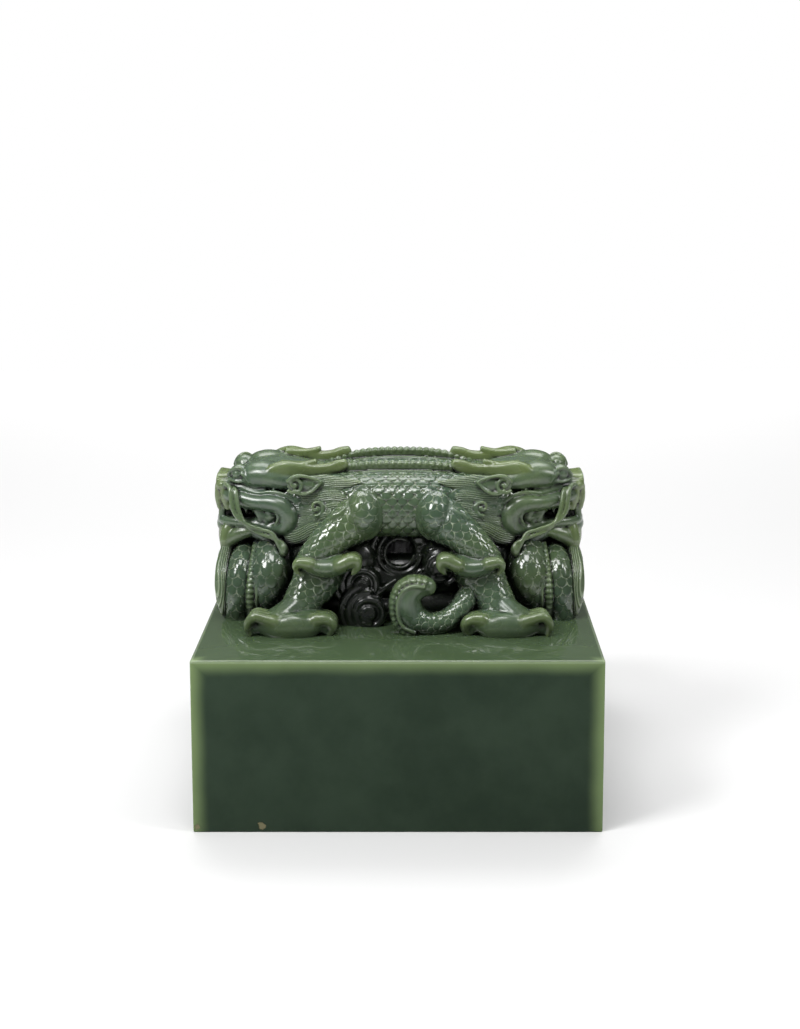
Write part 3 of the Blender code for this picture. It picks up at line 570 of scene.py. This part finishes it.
scales = {
    "length": 1.9,       # rows that one scale reaches over, under the scales of the next
    "shoulder": 0.8,     # rows from its root to where it narrows
    "bow": 1.1,          # rows from there to its tip
    "halfWidth": 0.58,   # as a share of the pitch across
    "dome": 0.6,         # its swell, as a share of the lift at its tip
    "groove": 0.5,       # the groove along its edge, the same
    "grooveWidth": 0.3,  # in millimetres
    "sunk": 0.7,         # how far a row lies in the skin, the same
}
hair = {
    "pitch": 0.7,        # from strand to strand, in millimetres
    "depth": 0.05,
    "wave": 0.25,        # how far a strand swings
    "waveRate": 0.45,    # radians of its swing in a millimetre
}


def scaleRelief(s, t, across, lift):
    # s counts rows towards the scales' free edges, t counts scales along a row
    row = np.floor(s)
    height = np.zeros_like(s)
    done = np.zeros(s.shape, bool)
    width = scales["halfWidth"]
    for back in (1, 0):                     # a scale of the row before lies over the next
        i = row - back
        p = s - i                           # 0 at its root
        shift = 0.5 * (i % 2)
        q = t - shift - np.round(t - shift)
        bow = np.clip((p - scales["shoulder"]) / scales["bow"], 0, 1)
        reach = width * np.sqrt(np.clip(1 - bow ** 2, 0, 1))
        inside = (abs(q) < reach) & ~done
        raised = lift * (p / scales["length"]) + scales["dome"] * lift * (1 - (q / width) ** 2)
        inward = (reach - abs(q)) * across
        groove = scales["groove"] * lift * np.exp(-(inward / scales["grooveWidth"]) ** 2)
        height = np.where(inside, raised - groove, height)
        done |= inside
    return height - scales["sunk"] * lift


def readPath(path, points):
    # For each point: the gap to the form's surface, the length along it and the angle round it or, on
    # hair, the distance across it
    centres = path["centres"]
    nearest = np.empty(len(points), int)
    batch = skins["batch"]
    for start in range(0, len(points), batch):
        some = points[start:start + batch]
        away = ((some[:, None, :] - centres[None, :, :]) ** 2).sum(2)
        nearest[start:start + batch] = away.argmin(1)
    offset = points - centres[nearest]
    u = path["at"][nearest] + (offset * path["along"][nearest]).sum(1)
    half = np.stack([np.interp(u, path["at"], path["half"][:, i]) for i in (0, 1)], axis=1)
    across = (offset * path["side"][nearest]).sum(1)
    a = across / half[:, 0]
    b = (offset * path["up"][nearest]).sum(1) / half[:, 1]
    past = np.maximum(0, np.maximum(-u, u - path["at"][-1]))
    away = np.sqrt(a * a + b * b + (past / half.min(1)) ** 2)
    return (away - 1) * half.min(1), u, across if path["grain"] == "hair" else np.arctan2(b, a)


def readPaths(forms, points):
    # Which form owns each point of the skin, and where on that form it is
    count = len(points)
    best = np.full(count, skins["far"])
    second = np.full(count, skins["far"])
    owner = np.full(count, -1)
    u = np.zeros(count)
    angle = np.zeros(count)
    for index, path in enumerate(forms.paths):
        reach = path["half"].max() + skins["beside"]
        low = path["centres"].min(0) - reach
        high = path["centres"].max(0) + reach
        near = np.nonzero(((points > low) & (points < high)).all(1))[0]
        if not len(near):
            continue
        gap, along, turn = readPath(path, points[near])
        gap = abs(gap)
        closer = gap < best[near]
        second[near] = np.where(closer, best[near], np.minimum(second[near], gap))
        chosen = near[closer]
        best[chosen] = gap[closer]
        owner[chosen] = index
        u[chosen] = along[closer]
        angle[chosen] = turn[closer]
    return owner, u, angle, np.clip((second - best) / skins["fade"], 0, 1)


def grainsOf(forms, points):
    # The relief's height, and what the finish reads: the scales' rows and turns, the hair's strands, and
    # each form's painted glow and shade
    owner, u, angle, clear = readPaths(forms, points)
    names = ("height", "scaleRow", "scaleTurn", "scaly", "strand", "hairy", "tone")
    grains = {name: np.zeros(len(points)) for name in names}
    for index, path in enumerate(forms.paths):
        mine = owner == index
        grains["tone"][mine] = path["tone"]
        cut = path["cut"]
        length = u[mine]
        turn = angle[mine]
        if path["grain"] == "scales":
            size = path["half"].mean()
            left = cut.get("until", 2) * path["at"][-1] - length   # with until, they end part way
            fade = clear[mine] * np.clip(left / 2 + 0.5, 0, 1)
            if "around" in cut:             # rows run along the form, down both its sides
                s = abs(math.pi / 2 - turn) * size / cut["row"]
                t = length / cut["across"]
            else:
                count = max(3, round(math.tau * size / cut["across"]))
                s = length / cut["row"]
                t = turn / math.tau * count
            grains["height"][mine] = scaleRelief(s, t, cut["across"], cut["lift"]) * fade
            grains["scaleRow"][mine] = s
            grains["scaleTurn"][mine] = t
            grains["scaly"][mine] = fade
        elif path["grain"] == "hair":
            strand = (turn + hair["wave"] * np.sin(length * hair["waveRate"])) * math.tau / hair["pitch"]
            grains["height"][mine] = hair["depth"] * (np.cos(strand) - 0.8) * clear[mine]
            grains["strand"][mine] = strand
            grains["hairy"][mine] = clear[mine]
    return grains


# Skins

skins = {
    "draftVoxel": 0.8,
    "crumb": 200,        # a shell with fewer points than this is dropped
    "batch": 20000,      # points that are read against a path at one time
    "far": 9.0,          # further than any form that could own a point
    "beside": 1.5,       # how far past a form its path is looked at
    "fade": 0.6,         # beside another form the relief fades over this distance
    "deepest": 20,       # how far a look through the stone goes
    "glowDepth": 4.5,    # the depth over which light fades in it
    "glowRounds": 12,    # rounds of smoothing of each thing that the finish reads
    "toneRounds": 8,
    "ridgeRounds": 9,
    "hollowRounds": 10,
    "skyWays": 14,       # ways in which a place looks for the sky
    "skyReach": 24,
    "skyStart": 0.9,     # how far off the stone each look starts
    "skyCell": 1.3,      # places this close share one look
    "ground": 70,        # half the width of the block's top, as these looks see it
}


def meshArrays(data):
    co = np.empty(len(data.vertices) * 3, np.float32)
    data.vertices.foreach_get("co", co)
    edges = np.empty(len(data.edges) * 2, np.int32)
    data.edges.foreach_get("vertices", edges)
    return co.reshape(-1, 3).astype(float), edges.reshape(-1, 2)


def meshNormals(data):
    normals = np.empty(len(data.vertices) * 3, np.float32)
    data.vertex_normals.foreach_get("vector", normals)
    return normals.reshape(-1, 3)


def relax(co, edges, times, factor=0.5):
    # Moves each row towards the mean of its neighbours', whether places or a value
    count = np.bincount(edges.ravel(), minlength=len(co))[:, None]
    for _ in range(times):
        total = np.zeros_like(co)
        for axis in range(co.shape[1]):
            total[:, axis] = (np.bincount(edges[:, 0], co[edges[:, 1], axis], len(co))
                              + np.bincount(edges[:, 1], co[edges[:, 0], axis], len(co)))
        co = co + factor * (total / np.maximum(count, 1) - co)
    return co


def keepOutside(mesh):
    waiting = set(mesh.verts)
    shells = []
    while waiting:
        front = [waiting.pop()]
        shell = set(front)
        while front:
            vert = front.pop()
            for edge in vert.link_edges:
                other = edge.other_vert(vert)
                if other in waiting:
                    waiting.remove(other)
                    shell.add(other)
                    front.append(other)
        shells.append(shell)
    for shell in shells:
        turned = sum(v.co.dot(v.normal) for v in shell if v.is_valid)
        middle = sum((v.co for v in shell), Vector()) / len(shell)
        outward = turned - middle.dot(sum((v.normal for v in shell), Vector()))
        if outward < 0 or len(shell) < skins["crumb"]:   # a hollow shut inside, or a crumb
            bmesh.ops.delete(mesh, geom=list(shell), context="VERTS")


def skinOf(name, plan):
    forms = Forms(folds[plan["fold"]])
    for add in plan["adds"]:
        add(forms)
    forms.repeat()
    for vert in forms.mesh.verts:
        vert.co.z = max(vert.co.z, -seal["sink"])
    data = bpy.data.meshes.new(name)
    forms.mesh.to_mesh(data)
    forms.mesh.free()
    piece = bpy.data.objects.new(name, data)
    bpy.context.scene.collection.objects.link(piece)
    skin = piece.modifiers.new("one skin", "REMESH")
    skin.mode = "VOXEL"
    skin.voxel_size = plan["voxel"]
    dense = bmesh.new()
    dense.from_object(piece, bpy.context.evaluated_depsgraph_get())
    piece.modifiers.remove(skin)
    keepOutside(dense)
    dense.to_mesh(piece.data)
    dense.free()
    co, edges = meshArrays(piece.data)
    co = relax(co, edges, plan["ease"])
    piece.data.vertices.foreach_set("co", co.ravel())
    piece.data.update()
    height = grainsOf(forms, forms.fold["back"](co))["height"]
    clear = np.clip((co[:, 2] + seal["sink"] - 0.1) / 0.5, 0, 1)   # the underside stays flat
    co += meshNormals(piece.data) * (height * clear)[:, None]
    piece.data.vertices.foreach_set("co", co.ravel())
    piece.data.update()
    faces = sum(len(face.vertices) - 2 for face in piece.data.polygons)
    fewer = piece.modifiers.new("fewer faces", "DECIMATE")
    fewer.ratio = min(1.0, plan["triangles"] / faces)
    ready = piece.evaluated_get(bpy.context.evaluated_depsgraph_get())
    thin = bpy.data.meshes.new_from_object(ready)
    piece.modifiers.clear()
    piece.data = thin
    thin.name = name
    print(name, "dense", faces, "kept", len(thin.polygons))
    return piece, forms


def shade(piece, forms):
    # Vertex attributes: the grains, thin for the places where light comes through, which the finish paints
    # as a pale glow, and ridge for edges and creases, whose creases it paints dark as shade
    co, edges = meshArrays(piece.data)
    grains = grainsOf(forms, forms.fold["back"](co))
    grains["tone"] = relax(grains["tone"][:, None], edges, skins["toneRounds"])[:, 0]
    for name, values in grains.items():
        if name != "height":
            keep(piece, name, values)
    tree = BVHTree.FromPolygons(co.tolist(), [tuple(face.vertices) for face in piece.data.polygons])
    normals = meshNormals(piece.data)
    through = np.full(len(co), float(skins["deepest"]))
    starts = (co - normals * 0.02).tolist()
    ways = (-normals).tolist()
    for i, (start, way) in enumerate(zip(starts, ways)):
        hit = tree.ray_cast(start, way, skins["deepest"])
        if hit[3] is not None:
            through[i] = hit[3]
    # Painted glow: the thinner the stone under a place, the more of a pale glow the finish paints there
    glow = np.exp(-through / skins["glowDepth"])[:, None]
    keep(piece, "thin", relax(glow, edges, skins["glowRounds"])[:, 0])
    around = relax(co, edges, skins["ridgeRounds"])
    bulge = ((co - around) * normals).sum(1)   # how far a place stands out of what lies round it
    keep(piece, "ridge", relax(bulge[:, None], edges, 1)[:, 0])


def keep(piece, name, values):
    layer = piece.data.attributes.get(name) or piece.data.attributes.new(name, "FLOAT", "POINT")
    layer.data.foreach_set("value", np.ascontiguousarray(values, dtype=np.float32))


def skyWays():
    # Ways spread evenly over the half of the sphere round Z
    golden = math.pi * (3 - math.sqrt(5))
    ways = []
    for i in range(skins["skyWays"]):
        z = (i + 0.5) / skins["skyWays"]
        flat = math.sqrt(1 - z * z)
        ways.append((flat * math.cos(golden * i), flat * math.sin(golden * i), z))
    return ways


def paintHollowShade(made):
    # Painted shade: how much of the sky each place of the carving misses, read on a coarse grid of places,
    # which the finish paints as darkness in the hollows
    allCo = []
    allFaces = []
    offset = 0
    for piece in made:
        co, _ = meshArrays(piece.data)
        allCo += co.tolist()
        allFaces += [tuple(i + offset for i in face.vertices) for face in piece.data.polygons]
        offset += len(co)
    ground = skins["ground"]
    allCo += [(-ground, -ground, 0), (ground, -ground, 0), (ground, ground, 0), (-ground, ground, 0)]
    allFaces.append(tuple(range(offset, offset + 4)))
    tree = BVHTree.FromPolygons(allCo, allFaces)
    ways = skyWays()
    for piece in made:
        co, edges = meshArrays(piece.data)
        normals = meshNormals(piece.data)
        cell = np.round(co / skins["skyCell"]).astype(int)
        _, which = np.unique(cell, axis=0, return_inverse=True)
        which = which.ravel()
        count = np.bincount(which)[:, None]
        place = np.stack([np.bincount(which, co[:, i]) for i in range(3)], 1) / count
        facing = np.stack([np.bincount(which, normals[:, i]) for i in range(3)], 1)
        facing /= np.maximum(np.linalg.norm(facing, axis=1), 1e-6)[:, None]
        missed = np.zeros(len(place))
        for i, (spot, out) in enumerate(zip(place.tolist(), facing.tolist())):
            out = Vector(out)
            turn = out.to_track_quat("Z", "Y").to_matrix()
            start = Vector(spot) + out * skins["skyStart"]
            looks = [tree.ray_cast(start, turn @ Vector(way), skins["skyReach"])[0] for way in ways]
            missed[i] = sum(look is not None for look in looks) / len(ways)
        keep(piece, "hollowShade", relax(missed[which][:, None], edges, skins["hollowRounds"])[:, 0])


# Block

block = {
    "edge": 0.0005,
    "stampBorder": 0.007,
    "stampGap": 0.0034,
    "stampDepth": 0.0016,
    "columns": 4,
    "cells": 3,          # across a column of strokes: its two ends and its middle
    "bars": 8,           # strokes in a column
    "chips": (           # nicks low on the front: x, z and reach
        (-0.0425, 0.0020, 0.0014),
        (-0.0628, 0.0018, 0.0012),
    ),
}


def stampLines():
    # Where the lines of the face's grid lie, across and up
    half = seal["width"] / 2
    border = block["stampBorder"]
    gap = block["stampGap"]
    columns = block["columns"]
    cells = block["cells"]
    inside = seal["width"] - 2 * border
    column = (inside - (columns + 1) * gap) / columns
    across = [-half, -half + border]
    for _ in range(columns):
        left = across[-1] + gap
        across += [left + column * i / cells for i in range(cells + 1)]
    across += [half - border, half]
    rows = 2 * block["bars"] - 1
    bar = (inside - 2 * gap) / rows
    low = -half + border + gap
    up = [-half, -half + border, *(low + bar * i for i in range(rows + 1)), half - border, half]
    return across, up


def isGround(column, row, columns, rows):
    # The border and the bars stand proud, each joined to the next by a stem at one end, then the other
    if column in (0, columns - 1) or row in (0, rows - 1):
        return False
    place = column % (block["cells"] + 1)
    if place == 1 or row in (1, rows - 2):
        return True
    bar = row - 2
    if bar % 2 == 0:
        return False
    return place != (2 if bar % 4 == 1 else 0)


def makeBlock():
    across, up = stampLines()
    mesh = bmesh.new()
    bmesh.ops.create_grid(mesh, x_segments=len(across) - 1, y_segments=len(up) - 1, size=0.5)
    for vert in mesh.verts:
        column = round((vert.co.x + 0.5) * (len(across) - 1))
        row = round((vert.co.y + 0.5) * (len(up) - 1))
        vert.co = (across[column], up[row], 0)
    sunk = []
    for face in mesh.faces:
        spot = face.calc_center_median()
        column = sum(spot.x > line for line in across) - 1
        row = sum(spot.y > line for line in up) - 1
        if isGround(column, row, len(across) - 1, len(up) - 1):
            sunk.append(face)
    rim = [edge for edge in mesh.edges if edge.is_boundary]
    walls = bmesh.ops.extrude_edge_only(mesh, edges=rim)["geom"]
    top = [item for item in walls if isinstance(item, bmesh.types.BMVert)]
    bmesh.ops.translate(mesh, verts=top, vec=(0, 0, seal["blockHeight"]))
    bmesh.ops.edgenet_fill(mesh, edges=[edge for edge in mesh.edges if edge.is_boundary])
    raised = bmesh.ops.extrude_face_region(mesh, geom=sunk)["geom"]
    moved = [item for item in raised if isinstance(item, bmesh.types.BMVert)]
    bmesh.ops.delete(mesh, geom=sunk, context="FACES_KEEP_BOUNDARY")
    bmesh.ops.translate(mesh, verts=moved, vec=(0, 0, block["stampDepth"]))
    bmesh.ops.dissolve_limit(mesh, angle_limit=math.radians(1), use_dissolve_boundaries=False,
                             verts=mesh.verts, edges=mesh.edges)
    bmesh.ops.recalc_face_normals(mesh, faces=mesh.faces)
    sharp = [edge for edge in mesh.edges if edge.calc_face_angle(0) > 1]
    bmesh.ops.bevel(mesh, geom=sharp, offset=block["edge"], segments=3, profile=0.5, affect="EDGES",
                    material=-1)
    data = bpy.data.meshes.new("seal_block")
    mesh.to_mesh(data)
    mesh.free()
    made = bpy.data.objects.new("seal_block", data)
    bpy.context.scene.collection.objects.link(made)
    data.shade_smooth()
    data.set_sharp_from_angle(angle=math.radians(40))
    return made


# Materials

class Value:
    # A socket that Python's operators work on

    def __init__(self, tree, socket):
        self.tree = tree
        self.socket = socket

    def math(self, operation, other=0.0, swap=False):
        a, b = (other, self) if swap else (self, other)
        return self.tree.node("ShaderNodeMath", {"operation": operation}, {0: a, 1: b})

    def __abs__(self):
        return self.math("ABSOLUTE")

    def __neg__(self):
        return self.math("SUBTRACT", 0.0, True)

    def __mod__(self, other):
        return self.math("FLOORED_MODULO", other)

    def __add__(self, other):
        return self.math("ADD", other)

    def __sub__(self, other):
        return self.math("SUBTRACT", other)

    def __mul__(self, other):
        return self.math("MULTIPLY", other)

    def __truediv__(self, other):
        return self.math("DIVIDE", other)

    def __pow__(self, other):
        return self.math("POWER", other)

    def __rsub__(self, other):
        return self.math("SUBTRACT", other, True)

    def __rtruediv__(self, other):
        return self.math("DIVIDE", other, True)

    __radd__ = __add__
    __rmul__ = __mul__


class NodeTree:
    # A node tree whose nodes are added by one method

    def __init__(self, tree):
        self.nodes = tree.nodes
        self.links = tree.links

    def node(self, kind, settings=None, sockets=None, out=0):
        made = self.nodes.new(kind)
        for key, value in (settings or {}).items():
            setattr(made, key, value)
        self.join(made, sockets or {})
        return Value(self, made.outputs[out])

    def join(self, made, sockets):
        for key, value in sockets.items():
            if isinstance(value, Value):
                self.links.new(value.socket, made.inputs[key])
            else:
                made.inputs[key].default_value = value

    def ease(self, value, low, high):
        return self.node("ShaderNodeMapRange", {"interpolation_type": "SMOOTHSTEP"},
                         {"Value": value, "From Min": low, "From Max": high})


class Finish(NodeTree):
    # A material on the Principled shader, whose constants are set on its own sockets

    def __init__(self, name, **constants):
        self.material = bpy.data.materials.new(name)
        self.material.use_nodes = True
        super().__init__(self.material.node_tree)
        self.shader = self.nodes["Principled BSDF"]
        for key, value in constants.items():
            self.shader.inputs[key].default_value = value

    def attribute(self, name):
        return self.node("ShaderNodeAttribute", {"attribute_name": name}, out="Fac")

    def noise(self, place, scale, detail=3.0, rough=0.5):
        return self.node("ShaderNodeTexNoise", {}, {"Vector": place, "Scale": scale, "Detail": detail,
                                                   "Roughness": rough})

    def blend(self, share, a, b):
        return self.node("ShaderNodeMix", {"data_type": "RGBA"}, {0: share, 6: a, 7: b}, out=2)

    def place(self):
        return self.node("ShaderNodeTexCoord", out="Object")

    def finish(self, **links):
        self.join(self.shader, links)
        return self.material


jade = {
    "deep": (0.014, 0.026, 0.016, 1),
    "inner": (0.032, 0.052, 0.033, 1),
    "green": (0.078, 0.120, 0.053, 1),
    "shade": (0.034, 0.060, 0.037, 1),
    "mist": (0.056, 0.098, 0.062, 1),
    "paintedGlowLeaf": (0.195, 0.250, 0.066, 1),
    "rim": (0.208, 0.290, 0.128, 1),
    "edge": (0.190, 0.255, 0.140, 1),
    "chip": (0.230, 0.210, 0.120, 1),
    "paintedShadeBlack": (0.0022, 0.0034, 0.0024, 1),
    "line": (0.430, 0.500, 0.360, 1),
    "index": 1.61,
    "radius": (0.9, 1.0, 0.35),   # how far red, green and blue light spread in it
    "depth": 0.0022,
    "carvedGloss": 0.62,
    "carvedGlow": 0.2,
    "blockGloss": 0.04,
    "blockGlow": 0.1,
    "edgeWidth": 0.13,            # of the worn line on a scale's edge, as a share of the pitch
    "reliefDepth": 0.00035,
    "bandWidth": 0.0062,          # of the painted glow along the block's edges, standing in for light coming through the stone there
    "bandWander": 0.0016,
}


def polishedJade(name, gloss, glow):
    return Finish(name, **{
        "IOR": jade["index"], "Specular IOR Level": gloss, "Subsurface Weight": glow,
        "Subsurface Radius": jade["radius"], "Subsurface Scale": jade["depth"],
    })


def scaleEdges(finish):
    # 1 on the scale that lies on top, 0 under it, and the line along its free edge
    s = finish.attribute("scaleRow")
    t = finish.attribute("scaleTurn")
    row = s.math("FLOOR") - 1
    p = s - row
    q = t - 0.5 * (row % 2)
    q = abs(q - (q + 0.5).math("FLOOR"))
    bow = ((p - scales["shoulder"]) / scales["bow"]).math("MINIMUM", 1.0)
    inside = scales["halfWidth"] * (1 - bow * bow).math("SQRT") - q
    fade = finish.attribute("scaly")
    line = (1 - finish.ease(abs(inside + 0.01), 0.0, jade["edgeWidth"])) * fade
    return finish.ease(inside, -0.03, 0.05) * fade, line


def carvedJade():
    finish = polishedJade("carved_jade", jade["carvedGloss"], jade["carvedGlow"])
    place = finish.place()
    raised, line = scaleEdges(finish)
    strands = finish.attribute("strand").math("COSINE") * finish.attribute("hairy")
    cloudy = finish.ease(finish.noise(place, 55, 4), 0.35, 0.7)
    flecks = finish.ease(finish.noise(place, 420, 2), 0.55, 0.8)
    # Painted light and shade: each form's glow of light through thin tips, and near black shade in its
    # depths
    tone = finish.attribute("tone")
    paintedTipGlow = tone.math("MAXIMUM", 0.0)
    paintedDepthShade = (-tone).math("MAXIMUM", 0.0)
    ridge = finish.attribute("ridge")
    misty = finish.ease(finish.noise(place, 33, 2), 0.42, 0.62)
    colour = finish.blend(cloudy * 0.65, jade["green"], jade["shade"])
    colour = finish.blend(misty * 0.7, colour, jade["mist"])
    colour = finish.blend(flecks * 0.25, colour, jade["shade"])
    # Painted glow: thin stone and pale tips are blended towards a yellow green, as light coming through
    thin = finish.ease(finish.attribute("thin"), 0.2, 0.85)
    colour = finish.blend((thin * 0.16 + paintedTipGlow * 0.55).math("MINIMUM", 0.9), colour, jade["paintedGlowLeaf"])
    scaly = finish.attribute("scaly")
    # Convex edges are blended towards the edge colour, and creases are painted near black as shade
    colour = finish.blend(finish.ease(ridge, 0.03, 0.2) * (1 - scaly) * 0.5, colour, jade["edge"])
    colour = finish.blend(finish.ease(-ridge, 0.02, 0.14) * 0.9, colour, jade["paintedShadeBlack"])
    worn = 0.35 + 0.65 * finish.ease(finish.noise(place, 260, 2), 0.4, 0.6)
    colour = finish.blend(line * worn * 0.7, colour, jade["line"])
    colour = finish.blend(finish.ease(strands, 0.2, 1) * 0.42, colour, jade["line"])
    # Painted shade: places that see little of the sky, and the depths, are blended towards near black
    hollowShade = finish.ease(finish.attribute("hollowShade"), 0.38, 0.8)
    colour = finish.blend((hollowShade * 0.96).math("MAXIMUM", paintedDepthShade * 0.95), colour, jade["paintedShadeBlack"])
    rough = 0.21 + 0.12 * finish.noise(place, 130, 2) - 0.11 * scaly
    relief = {"Strength": 0.85, "Distance": jade["reliefDepth"], "Height": raised + strands * 0.4}
    bump = finish.node("ShaderNodeBump", {}, relief, out="Normal")
    return finish.finish(**{"Base Color": colour, "Roughness": rough, "Normal": bump})


def blockJade():
    finish = polishedJade("polished_jade", jade["blockGloss"], jade["blockGlow"])
    place = finish.place()
    x, y, z = (finish.node("ShaderNodeSeparateXYZ", {}, {0: place}, out=i) for i in range(3))
    half = seal["width"] / 2
    band = jade["bandWidth"]
    edgeX = half - abs(x)                    # distances from the block's edges
    edgeY = half - abs(y)
    edgeZ = seal["blockHeight"] - z
    wander = finish.noise(place, 60, 2) * jade["bandWander"]
    # Painted glow: a pale band along the side edges and the top of the sides, as light coming through the
    # stone near its edges
    sideGlowBand = 1 - finish.ease(edgeX.math("MAXIMUM", edgeY) + wander, 0.0, band)
    topGlowBand = 1 - finish.ease(edgeZ + wander, 0.0, band)
    onSide = finish.ease(edgeZ, 0.00002, 0.0006)
    # The top face: it carries the coat, and its colour is painted lighter as lit from overhead
    top = 1 - finish.ease(edgeZ, 0.0, 0.0005)
    glow = sideGlowBand.math("MAXIMUM", topGlowBand * onSide)
    # Painted highlight: a bright line along the bevel round the top
    bevelHighlightSide = 1 - finish.ease(edgeX.math("MINIMUM", edgeY), 0.0006, 0.0011)
    bevelHighlightTop = 1 - finish.ease(edgeZ, 0.0006, 0.0011)
    cloudy = finish.ease(finish.noise(place, 38, 5, 0.6), 0.3, 0.75)
    flecks = finish.ease(finish.noise(place, 600, 2), 0.6, 0.85)
    colour = finish.blend(cloudy * 0.6, jade["inner"], jade["deep"])
    colour = finish.blend(flecks * 0.15, colour, jade["shade"])
    # Painted light: the top face half way to a lighter green, as lit from overhead
    colour = finish.blend(top * 0.5, colour, jade["green"])
    # Painted glow: the pale band along the edges
    colour = finish.blend(glow * 0.85, colour, jade["rim"])
    # Painted highlight: the bevel round the top
    colour = finish.blend(bevelHighlightSide * bevelHighlightTop * 0.25, colour, jade["line"])
    ragged = (finish.noise(place, 900, 3) - 0.5) * 0.0024
    chips = 0.0
    for chipX, chipZ, reach in block["chips"]:
        away = ((x - chipX) ** 2.0 + (z - chipZ) ** 2.0).math("SQRT") + ragged
        chips = (1 - finish.ease(away, reach * 0.7, reach)).math("MAXIMUM", chips)
    chips = chips * (1 - finish.ease(edgeY, 0.0004, 0.0008)) * y.math("LESS_THAN", 0.0)
    colour = finish.blend(chips * 0.85, colour, jade["chip"])
    rough = 0.12 + 0.1 * finish.noise(place, 90, 3) + chips * 0.4
    nick = {"Strength": 0.8, "Distance": 0.0008, "Height": 1 - chips}
    dent = finish.node("ShaderNodeBump", {}, nick, out="Normal")
    return finish.finish(**{"Base Color": colour, "Roughness": rough, "Coat Weight": top, "Normal": dent})


# Stage

camera = {
    "place": (0.0082, -0.5327, 0.2169),
    "lens": 55.4,
    "pitch": 8.23,
    "shift": (-0.0235, -0.15),
}
studio = {
    "floor": 0.9,                    # half its width
    "floorColour": (0.72, 0.72, 0.72, 1),
    "floorGlow": 0.55,               # at its far edge, to match the pale surroundings
    "glowFrom": 0.15,                # how far behind the seal that starts, and where it would be whole
    "glowTo": 1.1,
    "seen": 1.0,                     # the pale surroundings as the camera sees them
    "above": 0.72,                   # and as they light the stone, from overhead and behind
    "front": 0.55,                   # as a share, from the front
    "level": 0.2,                    # and from the side
    "mirrored": 0.36,                # how much of that the polish shows
    "softboxes": (                   # place, size and watts
        ((-0.42, -0.34, 0.62), (0.24, 0.24), 3.4),
        ((0.50, -0.22, 0.55), (0.14, 0.24), 1.2),
        ((-0.05, -0.26, 0.85), (0.40, 0.22), 2.6),
        ((0.0, 0.52, 0.92), (0.90, 0.45), 5.0),
    ),
}


def paleFloor():
    # Its far part glows a little, so that its edge is lost in the surroundings
    finish = Finish("floor", **{
        "Base Color": studio["floorColour"], "Roughness": 0.6, "Emission Strength": studio["floorGlow"],
    })
    depth = finish.node("ShaderNodeSeparateXYZ", {}, {0: finish.place()}, out=1)
    far = finish.ease(depth, studio["glowFrom"], studio["glowTo"])
    return finish.finish(**{"Emission Color": finish.blend(far, (0, 0, 0, 1), (1, 1, 1, 1))})


def makeStage():
    sceneNow = bpy.context.scene
    sceneNow.view_settings.view_transform = "Standard"   # the photo's plain contrast
    mesh = bmesh.new()
    bmesh.ops.create_grid(mesh, x_segments=1, y_segments=1, size=studio["floor"])
    data = bpy.data.meshes.new("floor")
    mesh.to_mesh(data)
    mesh.free()
    floor = bpy.data.objects.new("floor", data)
    sceneNow.collection.objects.link(floor)
    floor.data.materials.append(paleFloor())
    lens = bpy.data.cameras.new("camera")
    lens.lens = camera["lens"]
    lens.shift_x, lens.shift_y = camera["shift"]
    view = bpy.data.objects.new("camera", lens)
    view.location = camera["place"]
    view.rotation_euler = (math.radians(90 - camera["pitch"]), 0, 0)
    sceneNow.collection.objects.link(view)
    sceneNow.camera = view
    for place, size, power in studio["softboxes"]:
        lamp = bpy.data.lights.new("softbox", "AREA")
        lamp.shape = "RECTANGLE"
        lamp.size, lamp.size_y = size
        lamp.energy = power
        lit = bpy.data.objects.new("softbox", lamp)
        lit.location = place
        aim = Vector((0, 0, seal["blockHeight"])) - Vector(place)
        lit.rotation_euler = aim.to_track_quat("-Z", "Y").to_euler()
        sceneNow.collection.objects.link(lit)
    makeSurroundings(sceneNow)


def makeSurroundings(sceneNow):
    # White overhead and dim at the sides, so that the stone's faces mirror little, but pale behind it
    world = bpy.data.worlds.new("studio")
    sceneNow.world = world
    world.use_nodes = True
    tree = NodeTree(world.node_tree)
    way = tree.node("ShaderNodeTexCoord", out="Generated")
    depth, height = (tree.node("ShaderNodeSeparateXYZ", {}, {0: way}, out=i) for i in (1, 2))
    fromBack = studio["front"] + (1 - studio["front"]) * tree.ease(depth, -0.5, 0.6)
    upward = tree.ease(height, 0.05, 0.7)
    lighting = studio["level"] + (studio["above"] * fromBack - studio["level"]) * upward
    mirrored = tree.node("ShaderNodeLightPath", out="Is Glossy Ray")
    lighting = lighting * (1 - (1 - studio["mirrored"]) * mirrored)
    seen = tree.node("ShaderNodeLightPath", out="Is Camera Ray")
    strength = lighting + seen * (studio["seen"] - lighting)
    sky = world.node_tree.nodes["Background"]
    tree.join(sky, {"Color": (1, 1, 1, 1), "Strength": strength})


makeStage()
made = {}
for name, plan in pieces.items():
    made[name] = skinOf(name, plan)
for name, (piece, forms) in made.items():
    shade(piece, forms)
print("skins carved")
paintHollowShade([piece for piece, _ in made.values()])
print("hollows read")
knobJade = carvedJade()
intoSeal = Matrix.Translation((0, 0, seal["blockHeight"])) @ Matrix.Diagonal((unit, unit, unit, 1))
for piece, _ in made.values():
    piece.data.transform(intoSeal)
    piece.data.materials.clear()
    piece.data.materials.append(knobJade)
    piece.data.shade_smooth()
stone = makeBlock()
stone.data.materials.append(blockJade())
for piece in [stone, *(piece for piece, _ in made.values())]:
    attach(piece, "root")
    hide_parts("jade_seal")
print("pieces placed")
